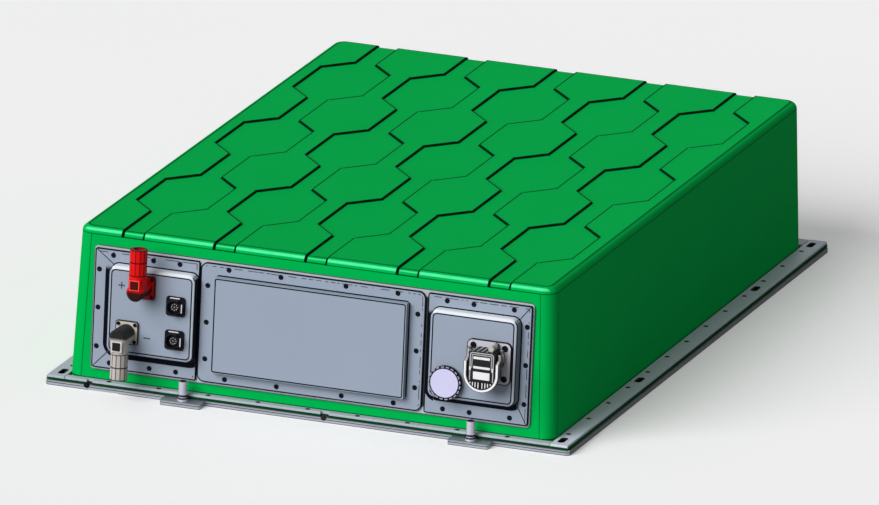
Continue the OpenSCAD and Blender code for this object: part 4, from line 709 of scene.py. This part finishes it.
# A painted highlight lightens the rib edges on the tower.
shade = socket_nylon.mix(rib_edges(x, v, 0.0006) * over_flange * 0.8, shade, (0.55, 0.55, 0.57))
mould(socket_nylon, socket_nylon.mix(post, shade, (0.52, 0.50, 0.46)), 0.42).on("disconnect_receptacle")
plug_black = Finish("disconnect_plug_nylon", specular_ior_level=0.12)
x, v, n = disconnect_place(plug_black)
head = off_outline(x, v, *head_outline)
on_head = n.step(head_face - 0.0003, head_face)
upper_half = v.step(-0.004, -0.002)
# A painted highlight runs round the head's rim, and a second one round its upper half.
rim = (head.band(-0.0030, -0.0018) + head.band(-0.0056, -0.0047) * upper_half) * on_head
rim = rim.most(rib_edges(x, v, 0.0004) * (1 - on_head) * 0.7)
shade = plug_black.mottled((0.008, 0.008, 0.010), (0.022, 0.022, 0.026))
mould(plug_black, plug_black.mix(rim * 0.8, shade, (0.62, 0.62, 0.64)), 0.42).on("disconnect_plug")
lever_nylon = Finish("white_lever_nylon", specular_ior_level=0.25)
x, v, n = disconnect_place(lever_nylon)
# Painted shade darkens the lever's rims and its side towards the wall.
off_bend = x.far((v - bend_v / 1000).least(0))
rim_shade = off_bend.step(lever_out_r, lever_out_r + 0.0004)
rim_shade = rim_shade.most(off_bend.step(lever_in_r - 0.0004, lever_in_r, 1, 0))
rim_shade = rim_shade.most(n.step(lever_low, lever_low + 0.0006, 1, 0) * 0.6)
shade = lever_nylon.mottled((0.84, 0.84, 0.86), (0.95, 0.95, 0.97))
shade = lever_nylon.mix(rim_shade * 0.93, shade, (0.008, 0.008, 0.010))
mould(lever_nylon, shade, 0.35).on("disconnect_lever")
white_nylon = moulded("white_plate_nylon", (0.80, 0.80, 0.82), (0.92, 0.92, 0.94), 0.35)
for name, corners, face_n in (
    ("lower_plate", (-12.6, -19.6, 12.6, -8.4), 32.05), ("upper_plate", (-12.6, -3.8, 12.6, -0.2), 32.05),
    ("top_bar", (-12.6, 10.6, 12.6, 14.2), 33.4), ("left_clip", (-18.4, -6.6, -15.9, -1.2), 33.4),
    ("right_clip", (15.9, -6.6, 18.4, -1.2), 33.4),
):
    piece("disconnect_" + name, slab(oblong(*corners), 1.2, 0.25), white_nylon, "fuse_plug",
          place=on_wall(disc_x, disc_v, pan_n + face_n))

# The lever's grip: a black web of moulded nylon with white ribs, clipped into the lever's bend in
# front of the plug. It swings out with the lever.
grip_r, grip_top, grip_n, grip_t = 22.8, -21.6, 34.3, 2.0
rib_n, rib_half_w, rib_foot, rib_head = 36.25, 0.7, 2.2, 1.5
grip_nylon = moulded("black_grip_nylon", (0.004, 0.004, 0.005), (0.012, 0.012, 0.014), 0.45, shine=0.1)
grip_half = math.acos((bend_v - grip_top) / grip_r)
arc = [grip_half * (k / 12 - 1) for k in range(25)]
grip = slab([(grip_r * math.sin(a), bend_v - grip_r * math.cos(a)) for a in arc], grip_t, 0.4)
piece("lever_grip", grip, grip_nylon, "lever", place=on_wall(disc_x, disc_v, pan_n + grip_n))
ribs = bmesh.new()
for rib_x in (-15.5, -11.5, -7.5, -3.0, 3.0, 7.5, 11.5, 15.5):
    low_v = bend_v - math.sqrt(grip_r ** 2 - rib_x ** 2) + rib_foot
    slab(oblong(rib_x - rib_half_w, low_v, rib_x + rib_half_w, grip_top - rib_head), 0.7, 0.2, shape=ribs)
piece("lever_grip_ribs", ribs, white_nylon, "lever", place=on_wall(disc_x, disc_v, pan_n + rib_n))

# The vent: a black stem with a nut behind the panel, a white membrane, and a lavender cap with a notched rim.
# Painted shade darkens the groove round its face, and the cap's outer edge and sides.
vent_x, vent_v, cap_r, vent_face = 0.2156, 0.073, 0.025, pan_face + 0.0097
groove_low, groove_mid, groove_high = 0.0214, 0.0222, 0.0230
vent_nylon = Finish("vent_cap_nylon", specular_ior_level=0.15)
x, v, n = wall_place(vent_nylon)
off_centre = (x - vent_x).far(v - vent_v)
lavender = vent_nylon.mottled((0.62, 0.60, 0.86), (0.70, 0.68, 0.94))
# The cap's outer edge and sides are darkened as painted shade.
rim_and_side_shade = off_centre.step(cap_r - 0.0004, cap_r - 0.0001).most(n.step(vent_face - 0.0005, vent_face, 1, 0))
bezel = vent_nylon.mix(rim_and_side_shade, (0.40, 0.40, 0.45), (0.010, 0.010, 0.015))
cap = vent_nylon.mix(off_centre.step(groove_mid, groove_mid + 0.0004), lavender, bezel)
groove = off_centre.band(groove_low, groove_high, 0.0004)
mould(vent_nylon, vent_nylon.mix(groove, cap, (0.012, 0.012, 0.04)), 0.42).on("vent_cap")
moulded("black_nylon", (0.012, 0.012, 0.014), (0.030, 0.030, 0.033), 0.45).on("vent_body", "bmu_case")
moulded("white_membrane", (0.72, 0.72, 0.72), (0.82, 0.82, 0.82), 0.8).on("vent_membrane")
bright_zinc = Finish("bright_zinc", metallic=0.95)
bright_zinc.set(
    base_color=bright_zinc.mottled((0.50, 0.51, 0.53), (0.70, 0.71, 0.73), 300, 3),
    roughness=bright_zinc.noise(500, 2) * 0.2 + 0.25,
)
bright_zinc.on("vent_nut")

# Bare copper bars lead from the cells to the connectors behind the panels. Handling has left
# them tarnished in patches.
copper = Finish("bare_copper", metallic=1.0)
copper.set(
    base_color=copper.mix(copper.noise(22, 5).step(0.35, 0.75), (0.78, 0.36, 0.20), (0.45, 0.19, 0.11)),
    roughness=copper.noise(60, 4, (1, 1, 8)) * 0.25 + 0.25,
)
copper.on("positive_busbar", "negative_busbar", "disconnect_busbars")

# Inside: cells in blue film on pink gap pads, between drawn aluminium bars and plates, with
# amber sampling strips and a mica sheet on top, and the control board in its case.
film = Finish("blue_cell_film", coat_weight=0.3)
film.set(
    base_color=film.mottled((0.02, 0.10, 0.32), (0.03, 0.15, 0.42), 30),
    roughness=film.noise(45, 5) * 0.2 + 0.25,
    normal=film.bump(0.0004, film.noise(40, 5), 0.3),
)
film.on("cell_row_1", "cell_row_2", "cell_row_3", "cell_row_4")
drawn = Finish("drawn_aluminium", metallic=0.95)
drawn.set(
    base_color=drawn.mottled((0.60, 0.62, 0.64), (0.74, 0.75, 0.77), 20),
    roughness=drawn.noise(50, 4, (8, 1, 8)) * 0.25 + 0.28,
)
drawn.on("end_plates", "side_plates", "cell_busbars")
moulded("pink_gap_pad", (0.52, 0.26, 0.30), (0.62, 0.34, 0.38), 0.7).on("thermal_pads")
moulded("mica", (0.50, 0.44, 0.33), (0.66, 0.60, 0.47), 0.45).on("mica_sheet")
moulded("amber_tape", (0.50, 0.20, 0.02), (0.62, 0.28, 0.04), 0.3).on("sampling_strips")
moulded("green_board", (0.004, 0.075, 0.03), (0.010, 0.115, 0.05), 0.35).on("bmu_board")
